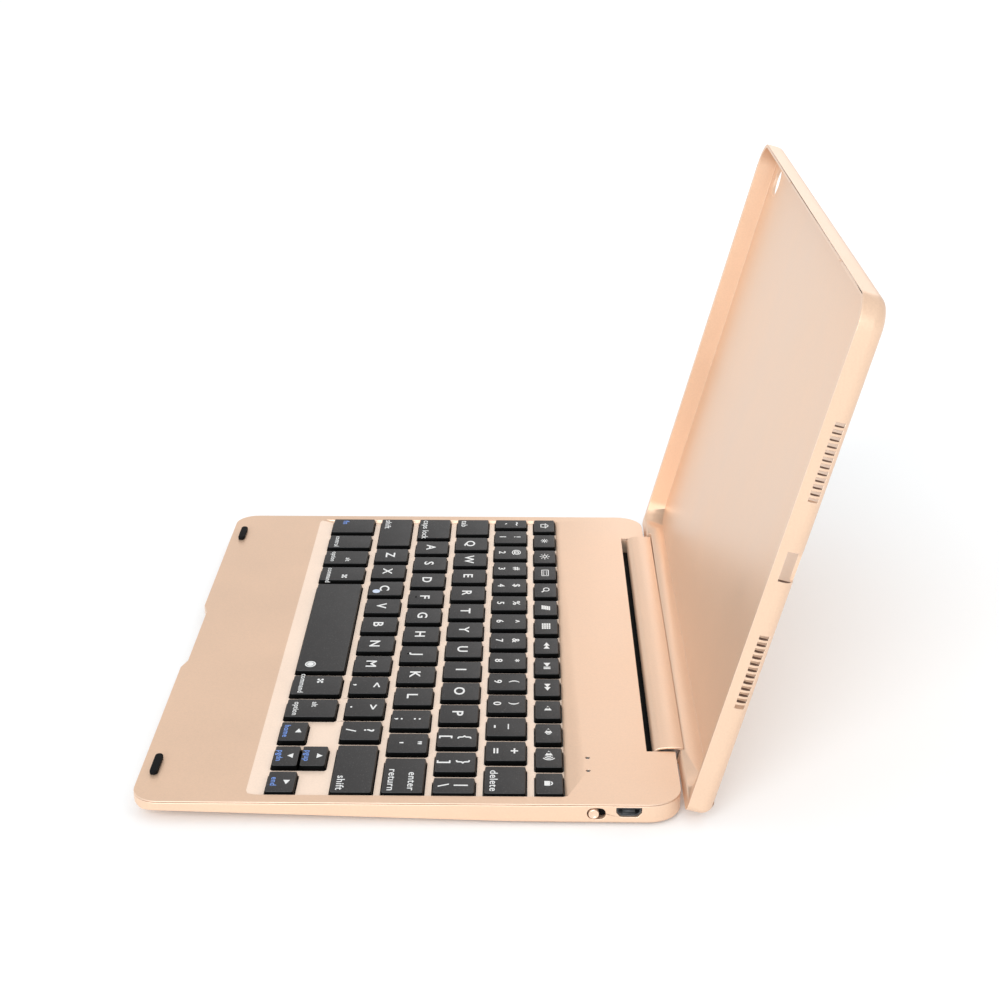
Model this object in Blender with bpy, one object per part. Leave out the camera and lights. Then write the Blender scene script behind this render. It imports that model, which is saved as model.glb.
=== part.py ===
"""Clamshell keyboard case for a 9.7 inch tablet, built piece by piece.

X runs across the keyboard to the typist's right, Y towards the hinge, Z up.  The case stands open
on its feet at Z = 0.  Base pieces are placed from the hinge axis, and lid pieces are modelled in
the lid's own frame (across, along the lid from the hinge, towards its back) and parented to an
empty on the axis, which turns them to the opening angle.
"""
import math

import bmesh
import bpy
from mathutils import Matrix, Vector

MM = 0.001
GAP = 0.3 * MM
HAIR = 0.1 * MM
WELD = 0.001 * MM

# Overall sizes
WIDTH = 245.0 * MM
OPEN_ANGLE = math.radians(105.0)
AXIS_Y = 59.4 * MM
AXIS_Z = 6.0 * MM

# Base, with Y measured from the hinge axis
BASE_FRONT = -175.3 * MM
EAR_REAR = 3.0 * MM
RECESS_FRONT = -6.7 * MM
RECESS_LEFT = -98.4 * MM
RECESS_RIGHT = 87.6 * MM
FRONT_CORNER = 9.0 * MM
EAR_CORNER = 11.0 * MM
CORNER_STEPS = 8
NOTCH_OUTER = 27.0 * MM
NOTCH_INNER = 21.5 * MM
NOTCH_DEPTH = 1.8 * MM
TROUGH_FRONT = -10.0 * MM
TROUGH_REAR = 1.0 * MM

# Heights above the table
FOOT_HEIGHT = 0.8 * MM
BOTTOM_Z = FOOT_HEIGHT + GAP
FLOOR_TOP = 2.1 * MM
TROUGH_LOW = 0.5 * MM
TROUGH_TOP = 1.2 * MM
PLATE_Z = 3.5 * MM
PLATE_THICK = 0.25 * MM
FILM_Z = 3.95 * MM
FILM_THICK = 0.15 * MM
SEAM_Z = 7.4 * MM
SEAM_GAP = 0.2 * MM
DECK_UNDER = 6.1 * MM
WELL_Z = 6.9 * MM
DECK_Z = 8.0 * MM
KEY_TOP = 8.7 * MM
KEY_TRAVEL = 1.2 * MM
WALL = 1.7 * MM

# Underside: its sides and front rise towards the front edge, so the rim is thin there
LOWER_EDGE = 0.6 * MM
TAPER_START = -32.0 * MM
TAPER_RISE = 3.74 * MM
SIDE_TAPER = 10.0 * MM
FRONT_TAPER = 18.0 * MM
SKIN = 1.1 * MM

# Hollow inside the base
CAVITY_REAR = RECESS_FRONT - WALL
CAVITY_FRONT = -150.0 * MM
PALM_FRONT = -168.0 * MM
PALM_FLOOR = 4.9 * MM
PLUG_FRONT = -146.0 * MM

# Key well: the pocket around the keys, at deck level and at its floor
WELL_HALF = 117.9 * MM
WELL_FRONT = -139.8 * MM
WELL_REAR = -32.6 * MM
WELL_FRONT_SLOPE = 6.4 * MM
WELL_REAR_SLOPE = 2.2 * MM
WELL_SIDE_SLOPE = 0.5 * MM
WELL_CORNER = 2.5 * MM

# Keys
PITCH = 17.0 * MM
TOP_SPACE = 4.2 * MM
SKIRT = 0.4 * MM
KEY_EDGE = 0.3 * MM
CHAMFER = 0.8 * MM
ROW_PITCH = 16.7 * MM
NUMBER_ROW_Y = -54.3 * MM
KEY_DEPTH = 13.2 * MM
FUNCTION_ROW_Y = -39.8 * MM
FUNCTION_DEPTH = 8.6 * MM
SPACE_ROW_Y = -123.3 * MM
SPACE_DEPTH = 17.5 * MM
ARROW_DEPTH = 8.9 * MM
UP_DOWN_DEPTH = 8.2 * MM
ARROW_COLUMNS = (4.5, 5.5, 6.5)
FLANGE_BOTTOM = 5.4 * MM
FLANGE_TOP = 5.8 * MM
FLANGE_OUT = 0.7 * MM
WEB_WIDTH = 3.0 * MM

# Switch, charging port and status lights near the hinge, on the right
SWITCH_Y = -24.8 * MM
SWITCH_Z = 4.6 * MM
SWITCH_R = 2.0 * MM
SWITCH_SLOT = 6.0 * MM
SWITCH_TRAVEL = 1.8 * MM
KNOB_PROUD = 0.5 * MM
KNOB_LENGTH = 3.1 * MM
PORT_Y = -14.3 * MM
PORT_HALF = 4.1 * MM
PORT_FOOT = 2.8 * MM
PORT_LOW = 3.45 * MM
PORT_KNEE = 5.0 * MM
PORT_HIGH = 6.85 * MM
SOCKET_DEPTH = 6.0 * MM
SOCKET_WALL = 0.4 * MM
TONGUE_HALF = 1.9 * MM
LED_XS = (92.2 * MM, 100.8 * MM)
LED_Y = -26.8 * MM
LED_R = 0.5 * MM
GUIDE_BAR = (1.2 * MM, 1.0 * MM, 1.0 * MM)

# Circuit board and battery behind the keys
BOARD_LEFT = 82.0 * MM
BOARD_FRONT = -31.0 * MM
BOARD_MARGIN = 3.5 * MM
BOARD_THICK = 0.6 * MM
BOARD_CORNER = 1.0 * MM
CHIP = ((98.0 * MM, -20.0 * MM), (105.0 * MM, -13.0 * MM))
CHIP_HEIGHT = 1.2 * MM
HOUSING = ((115.5 * MM, -28.0 * MM), (119.0 * MM, -21.6 * MM))
HOUSING_HEIGHT = 2.8 * MM
BATTERY_X = (-70.0 * MM, 40.0 * MM)
BATTERY_HEIGHT = 2.6 * MM
BATTERY_CORNER = 1.2 * MM
SHEET_FRONT = -134.8 * MM
SHEET_REAR = -33.0 * MM

# Pads
FOOT_HALF = (95.0 * MM, 3.0 * MM)
FRONT_FOOT_Y = BASE_FRONT + 27.0 * MM
REAR_FOOT_Y = CAVITY_REAR - 5.0 * MM
BUMPER_X = 100.0 * MM
BUMPER_Y = -170.4 * MM
BUMPER_HALF = (6.2 * MM, 1.35 * MM)
BUMPER_HEIGHT = 1.6 * MM

# Lid, measured along it from the axis (s) and back from the axis (t)
LID_START = 0.4 * MM
LID_END = 176.5 * MM
LIP_T = 3.9 * MM
BACK_T = 12.4 * MM
TRAY_HALF = 120.5 * MM
TRAY_START = 5.05 * MM
TRAY_END = 175.15 * MM
TRAY_FLOOR_T = 11.2 * MM
LID_CORNER = 10.0 * MM
LID_HINGE_CORNER = 2.6 * MM
TRAY_CORNER = 8.2 * MM
BACK_ROUND = 4.2 * MM
BACK_STEPS = 6
SLOT_STARTS = (41.1 * MM, 113.2 * MM)
SLOT_PITCH = 2.25 * MM
SLOT_COUNT = 12
SLOT_WIDTH = 1.3 * MM
SLOT_FRONT_T = 7.4 * MM
SLOT_BACK_T = 10.6 * MM
PORT_S = 90.4 * MM
PORT_WIDTH = 10.0 * MM
PORT_FRONT_T = 6.9 * MM
RIM_NOTCH_XS = (-41.0 * MM, 75.0 * MM)
RIM_NOTCH_HALF = 1.5 * MM
RIM_NOTCH_T = 4.9 * MM
RIM_NOTCH_WALL = 0.4 * MM
CAMERA_R = 5.5 * MM
CAMERA_X = -107.5 * MM
CAMERA_S = 163.5 * MM

# Hinge
BARREL_R = 3.0 * MM
BARREL_CROWN = 0.35 * MM
CROWN_STEPS = 6
BARREL_STEPS = 14
BARREL_CENTRE_Y = -1.6 * MM
BARREL_BACK_T = 4.9 * MM
BARREL_WALL = 0.9 * MM
BARREL_END_GAP = 0.7 * MM
PIN_R = 0.9 * MM
PIN_DEPTH = 11.0 * MM
PIN_INSIDE = 14.0 * MM
HINGE_INSET = 1.5 * MM
HINGE_LENGTH = 15.0 * MM

ROWS = (
    ("function", FUNCTION_ROW_Y, FUNCTION_DEPTH, (1.0,) * 14),
    ("number", NUMBER_ROW_Y, KEY_DEPTH, (0.75,) + (1.0,) * 12 + (1.25,)),
    ("q", NUMBER_ROW_Y - ROW_PITCH, KEY_DEPTH, (1.2,) + (1.0,) * 12 + (0.8,)),
    ("a", NUMBER_ROW_Y - 2 * ROW_PITCH, KEY_DEPTH, (1.45,) + (1.0,) * 11 + (1.55,)),
    ("z", NUMBER_ROW_Y - 3 * ROW_PITCH, KEY_DEPTH, (1.95,) + (1.0,) * 10 + (2.05,)),
    ("space", SPACE_ROW_Y, SPACE_DEPTH, (1.1, 1.0, 1.0, 1.0, 4.82, 1.08, 1.0)),
)
LETTERS = {"q": "qwertyuiop", "a": "asdfghjkl", "z": "zxcvbnm"}
ROW_ENDS = {"q": ("tab", None), "a": ("caps_lock", "return"), "z": ("left_shift", "right_shift")}


def start_scene():
    """Empty the scene and make the two collections."""
    for old in list(bpy.data.objects):
        bpy.data.objects.remove(old, do_unlink=True)
    made = []
    for name in ("tablet_keyboard_case", "cutters"):
        collection = bpy.data.collections.new(name)
        bpy.context.scene.collection.children.link(collection)
        made.append(collection)
    return made


PARTS, CUTTERS = start_scene()


def material(name, colour, roughness, metallic):
    """A plain Principled material."""
    made = bpy.data.materials.new(name)
    made.use_nodes = True
    shader = made.node_tree.nodes["Principled BSDF"]
    shader.inputs["Base Color"].default_value = (*colour, 1.0)
    shader.inputs["Roughness"].default_value = roughness
    shader.inputs["Metallic"].default_value = metallic
    return made


def paint(piece, colour, roughness, metallic=0.0):
    """Give a piece a material of its own."""
    piece.data.materials.clear()
    piece.data.materials.append(material(piece.name, colour, roughness, metallic))


GOLD = ((0.80, 0.56, 0.40), 0.38, 0.45)
BLACK = ((0.025, 0.025, 0.028), 0.55, 0.0)
RUBBER = ((0.03, 0.03, 0.03), 0.85, 0.0)
STEEL = ((0.55, 0.55, 0.56), 0.35, 1.0)
BOARD_GREEN = ((0.02, 0.18, 0.09), 0.5)
FOIL = ((0.62, 0.63, 0.65), 0.4, 0.6)
CLEAR = ((0.85, 0.87, 0.9), 0.2)
FILM = ((0.75, 0.78, 0.74), 0.45)
KNOB = ((0.86, 0.66, 0.52), 0.25, 0.3)


def new_object(name, bm, collection=PARTS):
    """Turn a bmesh into a linked object."""
    bmesh.ops.recalc_face_normals(bm, faces=bm.faces)
    mesh = bpy.data.meshes.new(name)
    bm.to_mesh(mesh)
    bm.free()
    made = bpy.data.objects.new(name, mesh)
    collection.objects.link(made)
    return made


def add_box(bm, low, high, corner=0.0, segments=1):
    """A box between two corners, with its upright edges rounded when asked."""
    size = Vector(high) - Vector(low)
    centre = (Vector(high) + Vector(low)) / 2
    place = Matrix.Translation(centre) @ Matrix.Diagonal((*size, 1.0))
    verts = bmesh.ops.create_cube(bm, size=1.0, matrix=place)["verts"]
    if corner:
        uprights = [edge for edge in {e for v in verts for e in v.link_edges}
                    if abs(edge.verts[0].co.z - edge.verts[1].co.z) > size.z / 2]
        bmesh.ops.bevel(bm, geom=uprights, offset=corner, segments=segments, profile=0.5,
                        affect="EDGES")


def box(name, low, high, corner=0.0, segments=1, collection=PARTS):
    bm = bmesh.new()
    add_box(bm, low, high, corner, segments)
    return new_object(name, bm, collection)


def rod(name, radius, start, end, sides=24, collection=PARTS):
    """A round bar along X."""
    bm = bmesh.new()
    turn = Matrix.Rotation(math.pi / 2, 4, "Y")
    middle = (Vector(start) + Vector(end)) / 2
    length = (Vector(end) - Vector(start)).length
    bmesh.ops.create_cone(bm, cap_ends=True, segments=sides, radius1=radius, radius2=radius,
                          depth=length, matrix=Matrix.Translation(middle) @ turn)
    made = new_object(name, bm, collection)
    smooth(made)
    return made


def smooth(piece, angle=35.0):
    piece.data.shade_smooth()
    piece.data.set_sharp_from_angle(angle=math.radians(angle))


def arc(centre, radius, first, last, steps):
    """Points on an arc, angles in degrees."""
    turns = [math.radians(first + (last - first) * i / steps) for i in range(steps + 1)]
    return [(centre[0] + radius * math.cos(a), centre[1] + radius * math.sin(a)) for a in turns]


def rounded_rectangle(x0, y0, x1, y1, radius, steps=5, low_radius=None):
    """Outline of a rectangle with round corners, the two at y0 with their own radius when asked."""
    low = low_radius or radius
    corners = (((x1 - low, y0 + low), low, -90), ((x1 - radius, y1 - radius), radius, 0),
               ((x0 + radius, y1 - radius), radius, 90), ((x0 + low, y0 + low), low, 180))
    return [p for centre, r, first in corners for p in arc(centre, r, first, first + 90, steps)]


def slab(name, outline, low, high, collection=PARTS):
    """A flat outline extruded between two heights, as a filled 2D curve made into a mesh."""
    curve = bpy.data.curves.new(name, "CURVE")
    curve.dimensions = "2D"
    curve.fill_mode = "BOTH"
    curve.extrude = (high - low) / 2
    spline = curve.splines.new("POLY")
    spline.points.add(len(outline) - 1)
    for point, (x, y) in zip(spline.points, outline):
        point.co = (x, y, 0.0, 1.0)
    spline.use_cyclic_u = True
    source = bpy.data.objects.new(name + "_outline", curve)
    source.location.z = (low + high) / 2
    CUTTERS.objects.link(source)
    bpy.context.view_layer.update()
    evaluated = source.evaluated_get(bpy.context.evaluated_depsgraph_get())
    mesh = bpy.data.meshes.new_from_object(evaluated)
    bm = bmesh.new()
    bm.from_mesh(mesh)
    bmesh.ops.remove_doubles(bm, verts=bm.verts, dist=WELD)
    bmesh.ops.transform(bm, matrix=source.matrix_world, verts=bm.verts)
    bpy.data.objects.remove(source, do_unlink=True)
    return new_object(name, bm, collection)


def combine(piece, other, operation="DIFFERENCE"):
    """Boolean one piece with a cutter or a joined shape, kept as a live modifier."""
    other.hide_render = True
    other.display_type = "WIRE"
    if other.name not in CUTTERS.objects:
        PARTS.objects.unlink(other)
        CUTTERS.objects.link(other)
    modifier = piece.modifiers.new(other.name, "BOOLEAN")
    modifier.operation = operation
    modifier.object = other


def at_axis(piece):
    """Move a piece modelled from the hinge axis to its place."""
    piece.location = (0.0, AXIS_Y, 0.0)
    return piece


def base_outline(inset=0.0):
    """Plan of the base: front thumb notch, rear hinge recess between two ears."""
    half = WIDTH / 2 - inset
    front = BASE_FRONT + inset
    rear = EAR_REAR - inset
    radius = FRONT_CORNER - inset
    ear = EAR_CORNER - inset
    points = [(-NOTCH_OUTER, front), (-NOTCH_INNER, front + NOTCH_DEPTH),
              (NOTCH_INNER, front + NOTCH_DEPTH), (NOTCH_OUTER, front)]
    points += arc((half - radius, front + radius), radius, -90, 0, CORNER_STEPS)
    points += arc((half - ear, rear - ear), ear, 0, 90, CORNER_STEPS)
    points += [(RECESS_RIGHT + inset, rear), (RECESS_RIGHT + inset, RECESS_FRONT - inset)]
    points += [(RECESS_LEFT - inset, RECESS_FRONT - inset), (RECESS_LEFT - inset, rear)]
    points += arc((-half + ear, rear - ear), ear, 90, 180, CORNER_STEPS)
    points += arc((-half + radius, front + radius), radius, 180, 270, CORNER_STEPS)
    return points


def key_places():
    """Every key as (row, index, centre x, centre y, width, depth) of its top."""
    places = []
    for row, y, depth, units in ROWS:
        x = -sum(ROWS[0][3]) * PITCH / 2
        for index, unit in enumerate(units):
            width = unit * PITCH
            places.append((row, index, x + width / 2, y, width - TOP_SPACE, depth))
            x += width
    front = SPACE_ROW_Y - SPACE_DEPTH / 2
    rear = SPACE_ROW_Y + SPACE_DEPTH / 2
    left, middle, right = [column * PITCH for column in ARROW_COLUMNS]
    width = PITCH - TOP_SPACE
    places.append(("arrow", 0, left, front + ARROW_DEPTH / 2, width, ARROW_DEPTH))
    places.append(("arrow", 1, middle, front + UP_DOWN_DEPTH / 2, width, UP_DOWN_DEPTH))
    places.append(("arrow", 2, middle, rear - UP_DOWN_DEPTH / 2, width, UP_DOWN_DEPTH))
    places.append(("arrow", 3, right, front + ARROW_DEPTH / 2, width, ARROW_DEPTH))
    return places


def move_ring(bm, face, scale, lift):
    """Extrude a flat face, then scale it about its centre and lift it."""
    grown = bmesh.ops.extrude_face_region(bm, geom=[face])["geom"]
    top = next(item for item in grown if isinstance(item, bmesh.types.BMFace))
    bmesh.ops.delete(bm, geom=[face], context="FACES_ONLY")
    centre = top.calc_center_median()
    shift = Matrix.Translation(centre)
    bmesh.ops.transform(bm, verts=top.verts, matrix=shift @ Matrix.Diagonal((*scale, 1.0, 1.0))
                        @ shift.inverted())
    bmesh.ops.translate(bm, verts=top.verts, vec=(0.0, 0.0, lift))
    return top


def add_key(bm, x, y, width, depth, flange=True):
    """One key cap: a skirt through the deck, a tapered cap and, on loose keys, a retaining flange."""
    skirt_w, skirt_d = width + 2 * SKIRT, depth + 2 * SKIRT
    before = set(bm.faces)
    add_box(bm, (x - skirt_w / 2, y - skirt_d / 2, FLANGE_TOP),
            (x + skirt_w / 2, y + skirt_d / 2, WELL_Z), CHAMFER)
    faces = [face for face in bm.faces if face not in before]
    top = max(faces, key=lambda face: face.calc_center_median().z)
    bottom = min(faces, key=lambda face: face.calc_center_median().z)
    top = move_ring(bm, top, (width / skirt_w, depth / skirt_d), KEY_TOP - KEY_EDGE - WELL_Z)
    move_ring(bm, top, (1 - 2 * KEY_EDGE / width, 1 - 2 * KEY_EDGE / depth), KEY_EDGE)
    if flange:
        bottom = move_ring(bm, bottom, ((skirt_w + 2 * FLANGE_OUT) / skirt_w, 1.0), 0.0)
    move_ring(bm, bottom, (1.0, 1.0), FLANGE_BOTTOM - FLANGE_TOP)


def key_body(name, places, webs=()):
    """A key, or a block of keys on one web, with its origin at the middle of its first cap."""
    bm = bmesh.new()
    for _, _, x, y, width, depth in places:
        add_key(bm, x, y, width, depth, flange=not webs)
    _, _, x, y, _, _ = places[0]
    bmesh.ops.translate(bm, verts=bm.verts, vec=(-x, -y, 0.0))
    made = new_object(name, bm)
    for number, (low, high) in enumerate(webs):
        web = box(f"{name}_web_{number}", (low[0] - x, low[1] - y, FLANGE_BOTTOM - HAIR),
                  (high[0] - x, high[1] - y, FLANGE_TOP - HAIR), collection=CUTTERS)
        web.location = (x, AXIS_Y + y, 0.0)
        combine(made, web, "UNION")
    made.location = (x, AXIS_Y + y, 0.0)
    paint(made, *BLACK)
    return made


def row_web(places):
    """One strip that runs under a row of keys."""
    y = places[0][3]
    return ((places[0][2], y - WEB_WIDTH / 2), (places[-1][2], y + WEB_WIDTH / 2))


def make_keys():
    """Letter and command keys one by one; number, function, sign and modifier keys in blocks."""
    places = key_places()
    by_row = {row: [p for p in places if p[0] == row] for row in
              ("function", "number", "q", "a", "z", "space", "arrow")}
    for row, letters in LETTERS.items():
        for letter, place in zip(letters, by_row[row][1:]):
            key_body(f"key_{letter}", [place])
        for name, place in zip(ROW_ENDS[row], (by_row[row][0], by_row[row][-1])):
            if name:
                key_body(f"key_{name}", [place])
    for name, place in zip(("left", "down", "up", "right"), by_row["arrow"]):
        key_body(f"key_arrow_{name}", [place])
    space = by_row["space"]
    key_body("key_space_bar", [space[4]])
    for name, block in (("function_key_row", by_row["function"]),
                        ("number_key_row", by_row["number"]),
                        ("left_modifier_keys", space[:4]), ("right_modifier_keys", space[5:7])):
        key_body(name, block, [row_web(block)])
    signs = [by_row["q"][11:], by_row["a"][10:12], by_row["z"][8:11]]
    link_x = signs[0][0][2]
    link = ((link_x - WEB_WIDTH / 2, signs[2][0][3]), (link_x + WEB_WIDTH / 2, signs[0][0][3]))
    low, (_, web_rear) = row_web(signs[2])
    webs = [row_web(signs[0]), row_web(signs[1]), (low, (link_x, web_rear)), link]
    key_body("sign_key_block", sum(signs, []), webs)


def key_openings():
    """Cutter with one opening for each key; the up and down arrows share one."""
    bm = bmesh.new()
    places = key_places()
    down, up = places[-3], places[-2]
    shared = ("arrow", 1, down[2], (down[3] + up[3]) / 2, down[4], SPACE_DEPTH)
    for _, _, x, y, width, depth in [p for p in places if p not in (down, up)] + [shared]:
        half_w = width / 2 + SKIRT + GAP
        half_d = depth / 2 + SKIRT + GAP
        add_box(bm, (x - half_w, y - half_d, FLOOR_TOP), (x + half_w, y + half_d, DECK_Z), CHAMFER)
    return new_object("key_openings", bm, CUTTERS)


def well_cutter():
    """The pocket around the keys, wider at the top."""
    bm = bmesh.new()
    add_box(bm, (-WELL_HALF + WELL_SIDE_SLOPE, WELL_FRONT + WELL_FRONT_SLOPE, WELL_Z),
            (WELL_HALF - WELL_SIDE_SLOPE, WELL_REAR - WELL_REAR_SLOPE, DECK_Z), WELL_CORNER, 2)
    for vert in bm.verts:
        if vert.co.z > (WELL_Z + DECK_Z) / 2:
            vert.co.x += math.copysign(WELL_SIDE_SLOPE, vert.co.x)
            vert.co.y += WELL_REAR_SLOPE if vert.co.y > NUMBER_ROW_Y else -WELL_FRONT_SLOPE
            vert.co.z += GAP
    return new_object("key_well", bm, CUTTERS)


def along_x(name, outline, start, end, collection=PARTS):
    """A (y, z) outline drawn along X."""
    made = slab(name, outline, start, end, collection)
    made.data.transform(Matrix(((0.0, 0.0, 1.0), (1.0, 0.0, 0.0), (0.0, 1.0, 0.0))).to_4x4())
    return made


def port_outline(inset):
    """Charging port opening: wide at the top, its lower corners cut off."""
    half, foot = PORT_HALF - inset, PORT_FOOT - inset
    low, high = PORT_LOW + inset, PORT_HIGH - inset
    return [(PORT_Y - foot, low), (PORT_Y + foot, low), (PORT_Y + half, PORT_KNEE),
            (PORT_Y + half, high), (PORT_Y - half, high), (PORT_Y - half, PORT_KNEE)]


def cut_side_openings(piece):
    """The switch slot and the charging port in the right-hand wall."""
    outer = WIDTH / 2 + WALL
    inner = WIDTH / 2 - SOCKET_DEPTH - GAP
    slot = rounded_rectangle(SWITCH_Y - SWITCH_SLOT / 2, SWITCH_Z - SWITCH_R, SWITCH_Y + SWITCH_SLOT / 2,
                             SWITCH_Z + SWITCH_R, SWITCH_R - HAIR)
    for name, outline in (("switch_slot", slot), ("charging_port", port_outline(0.0))):
        combine(piece, at_axis(along_x(f"{name}_in_{piece.name}", outline, inner, outer, CUTTERS)))


def taper_height(y):
    """Height of the wall's lower edge at a place along the side."""
    share = (y - TAPER_START) / (BASE_FRONT - TAPER_START)
    return BOTTOM_Z + TAPER_RISE * share


def taper_planes(lift):
    """The two side planes and the front plane of the underside, as (point, outward normal)."""
    planes = []
    for sign in (1.0, -1.0):
        rear = Vector((sign * WIDTH / 2, TAPER_START, BOTTOM_Z))
        edge = Vector((sign * WIDTH / 2, BASE_FRONT, taper_height(BASE_FRONT)))
        inner = Vector((sign * (WIDTH / 2 - SIDE_TAPER), BASE_FRONT, BOTTOM_Z))
        planes.append((rear, (edge - rear).cross(inner - rear).normalized()))
    fall = Vector((0.0, FRONT_TAPER, -TAPER_RISE))
    front = Vector((0.0, BASE_FRONT, taper_height(BASE_FRONT)))
    planes.append((front, fall.cross(Vector((1.0, 0.0, 0.0))).normalized()))
    outward = [(point, normal if normal.z < 0 else -normal) for point, normal in planes]
    return [(point - normal * lift, normal) for point, normal in outward]


def taper_cutters():
    """Blocks that cut the underside down to its sloped sides and front."""
    made = []
    for number, (point, normal) in enumerate(taper_planes(0.0)):
        bm = bmesh.new()
        add_box(bm, (-WIDTH, BASE_FRONT - 10 * WALL, -SEAM_Z), (WIDTH, -TAPER_START, SEAM_Z))
        cut = bmesh.ops.bisect_plane(bm, geom=bm.verts[:] + bm.edges[:] + bm.faces[:], dist=0.000001,
                                     plane_co=point, plane_no=-normal, clear_outer=True)
        bmesh.ops.holes_fill(bm, edges=[e for e in cut["geom_cut"] if isinstance(e, bmesh.types.BMEdge)])
        made.append(new_object(f"underside_taper_{number}", bm, CUTTERS))
    return made


def cavity_cutter():
    """The hollow for the plates, board and battery, with a shallow part under the palm rest."""
    half = WIDTH / 2 - WALL
    outline = [(CAVITY_REAR, FLOOR_TOP), (CAVITY_REAR, DECK_Z), (PALM_FRONT, DECK_Z),
               (PALM_FRONT, PALM_FLOOR), (CAVITY_FRONT, FLOOR_TOP)]
    made = along_x("base_cavity", outline, -half, half, CUTTERS)
    bm = bmesh.new()
    bm.from_mesh(made.data)
    for point, normal in taper_planes(SKIN)[:2]:
        cut = bmesh.ops.bisect_plane(bm, geom=bm.verts[:] + bm.edges[:] + bm.faces[:], dist=0.000001,
                                     plane_co=point, plane_no=normal, clear_outer=True)
        bmesh.ops.holes_fill(bm, edges=[e for e in cut["geom_cut"] if isinstance(e, bmesh.types.BMEdge)])
    bmesh.ops.recalc_face_normals(bm, faces=bm.faces)
    bm.to_mesh(made.data)
    bm.free()
    return made


def make_deck():
    """Deck sheet on a thicker part that drops into the base, with the key well and its openings."""
    deck = slab("deck_top_cover", base_outline(), SEAM_Z + SEAM_GAP, DECK_Z)
    half = WIDTH / 2 - WALL - GAP
    plug = box("deck_plug", (-half, PLUG_FRONT, DECK_UNDER), (half, CAVITY_REAR - GAP, DECK_Z - GAP),
               collection=CUTTERS)
    combine(deck, at_axis(plug), "UNION")
    combine(deck, at_axis(well_cutter()))
    combine(deck, at_axis(key_openings()))
    cut_side_openings(deck)
    bm = bmesh.new()
    for x in LED_XS:
        bmesh.ops.create_cone(bm, cap_ends=True, segments=12, radius1=LED_R + GAP, radius2=LED_R + GAP,
                              depth=2 * DECK_Z, matrix=Matrix.Translation((x, LED_Y, DECK_Z)))
    combine(deck, at_axis(new_object("light_holes", bm, CUTTERS)))
    paint(at_axis(deck), *GOLD)


def make_bottom():
    """Tub of the base: walls, sloped underside, pin bores and a trough under the barrel."""
    bottom = slab("base_bottom_cover", base_outline(), BOTTOM_Z, SEAM_Z)
    bm = bmesh.new()
    bm.from_mesh(bottom.data)
    low = [e for e in bm.edges if all(v.co.z < BOTTOM_Z + GAP for v in e.verts)
           and len({f.normal.to_tuple(2) for f in e.link_faces}) > 1]
    bmesh.ops.bevel(bm, geom=low, offset=LOWER_EDGE, segments=1, profile=0.5, affect="EDGES")
    bm.to_mesh(bottom.data)
    bm.free()
    trough = box("barrel_trough", (RECESS_LEFT - WALL, TROUGH_FRONT, TROUGH_LOW),
                 (RECESS_RIGHT + WALL, TROUGH_REAR, TROUGH_TOP), collection=CUTTERS)
    combine(bottom, at_axis(trough), "UNION")
    combine(bottom, at_axis(cavity_cutter()))
    for cutter in taper_cutters():
        combine(bottom, at_axis(cutter))
    cut_side_openings(bottom)
    bores = rod("pin_bores", PIN_R + GAP, (RECESS_LEFT - PIN_DEPTH - GAP, 0.0, AXIS_Z),
                (RECESS_RIGHT + PIN_DEPTH + GAP, 0.0, AXIS_Z), collection=CUTTERS)
    combine(bottom, at_axis(bores))
    paint(at_axis(bottom), *GOLD)


def pad(name, centre, half, low, high):
    """A rubber pad with round ends."""
    (x, y), (half_x, half_y) = centre, half
    made = slab(name, rounded_rectangle(x - half_x, y - half_y, x + half_x, y + half_y,
                                        half_y - HAIR, 4), low, high)
    paint(at_axis(made), *RUBBER)


def make_feet_and_bumpers():
    """Two long rubber feet under the base and two pads that the closed lid rests on."""
    pad("rubber_foot_front", (0.0, FRONT_FOOT_Y), FOOT_HALF, 0.0, FOOT_HEIGHT)
    pad("rubber_foot_rear", (0.0, REAR_FOOT_Y), FOOT_HALF, 0.0, FOOT_HEIGHT)
    for side, x in (("left", -BUMPER_X), ("right", BUMPER_X)):
        pad(f"palm_bumper_{side}", (x, BUMPER_Y), BUMPER_HALF, DECK_Z + GAP, DECK_Z + BUMPER_HEIGHT)


def make_board(low, high):
    """Circuit board with a chip and the switch's housing, and the light guides above it."""
    board = box("main_circuit_board", (BOARD_LEFT, BOARD_FRONT, low),
                (WIDTH / 2 - BOARD_MARGIN, CAVITY_REAR - GAP, high), BOARD_CORNER)
    for name, (start, end), height in (("chip", CHIP, CHIP_HEIGHT),
                                       ("switch_housing", HOUSING, HOUSING_HEIGHT)):
        shape = box(name, (*start, low + HAIR), (*end, high + height), collection=CUTTERS)
        combine(board, at_axis(shape), "UNION")
    paint(at_axis(board), *BOARD_GREEN)
    base = high + GAP
    over_x, half_y, height = GUIDE_BAR
    guides = box("status_light_guides", (LED_XS[0] - over_x, LED_Y - half_y, base),
                 (LED_XS[1] + over_x, LED_Y + half_y, base + height))
    bm = bmesh.new()
    depth = DECK_Z - base - 2 * GAP
    for x in LED_XS:
        bmesh.ops.create_cone(bm, cap_ends=True, segments=12, radius1=LED_R, radius2=LED_R, depth=depth,
                              matrix=Matrix.Translation((x, LED_Y, DECK_Z - 2 * HAIR - depth / 2)))
    combine(guides, at_axis(new_object("light_pins", bm, CUTTERS)), "UNION")
    paint(at_axis(guides), *CLEAR)


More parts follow.
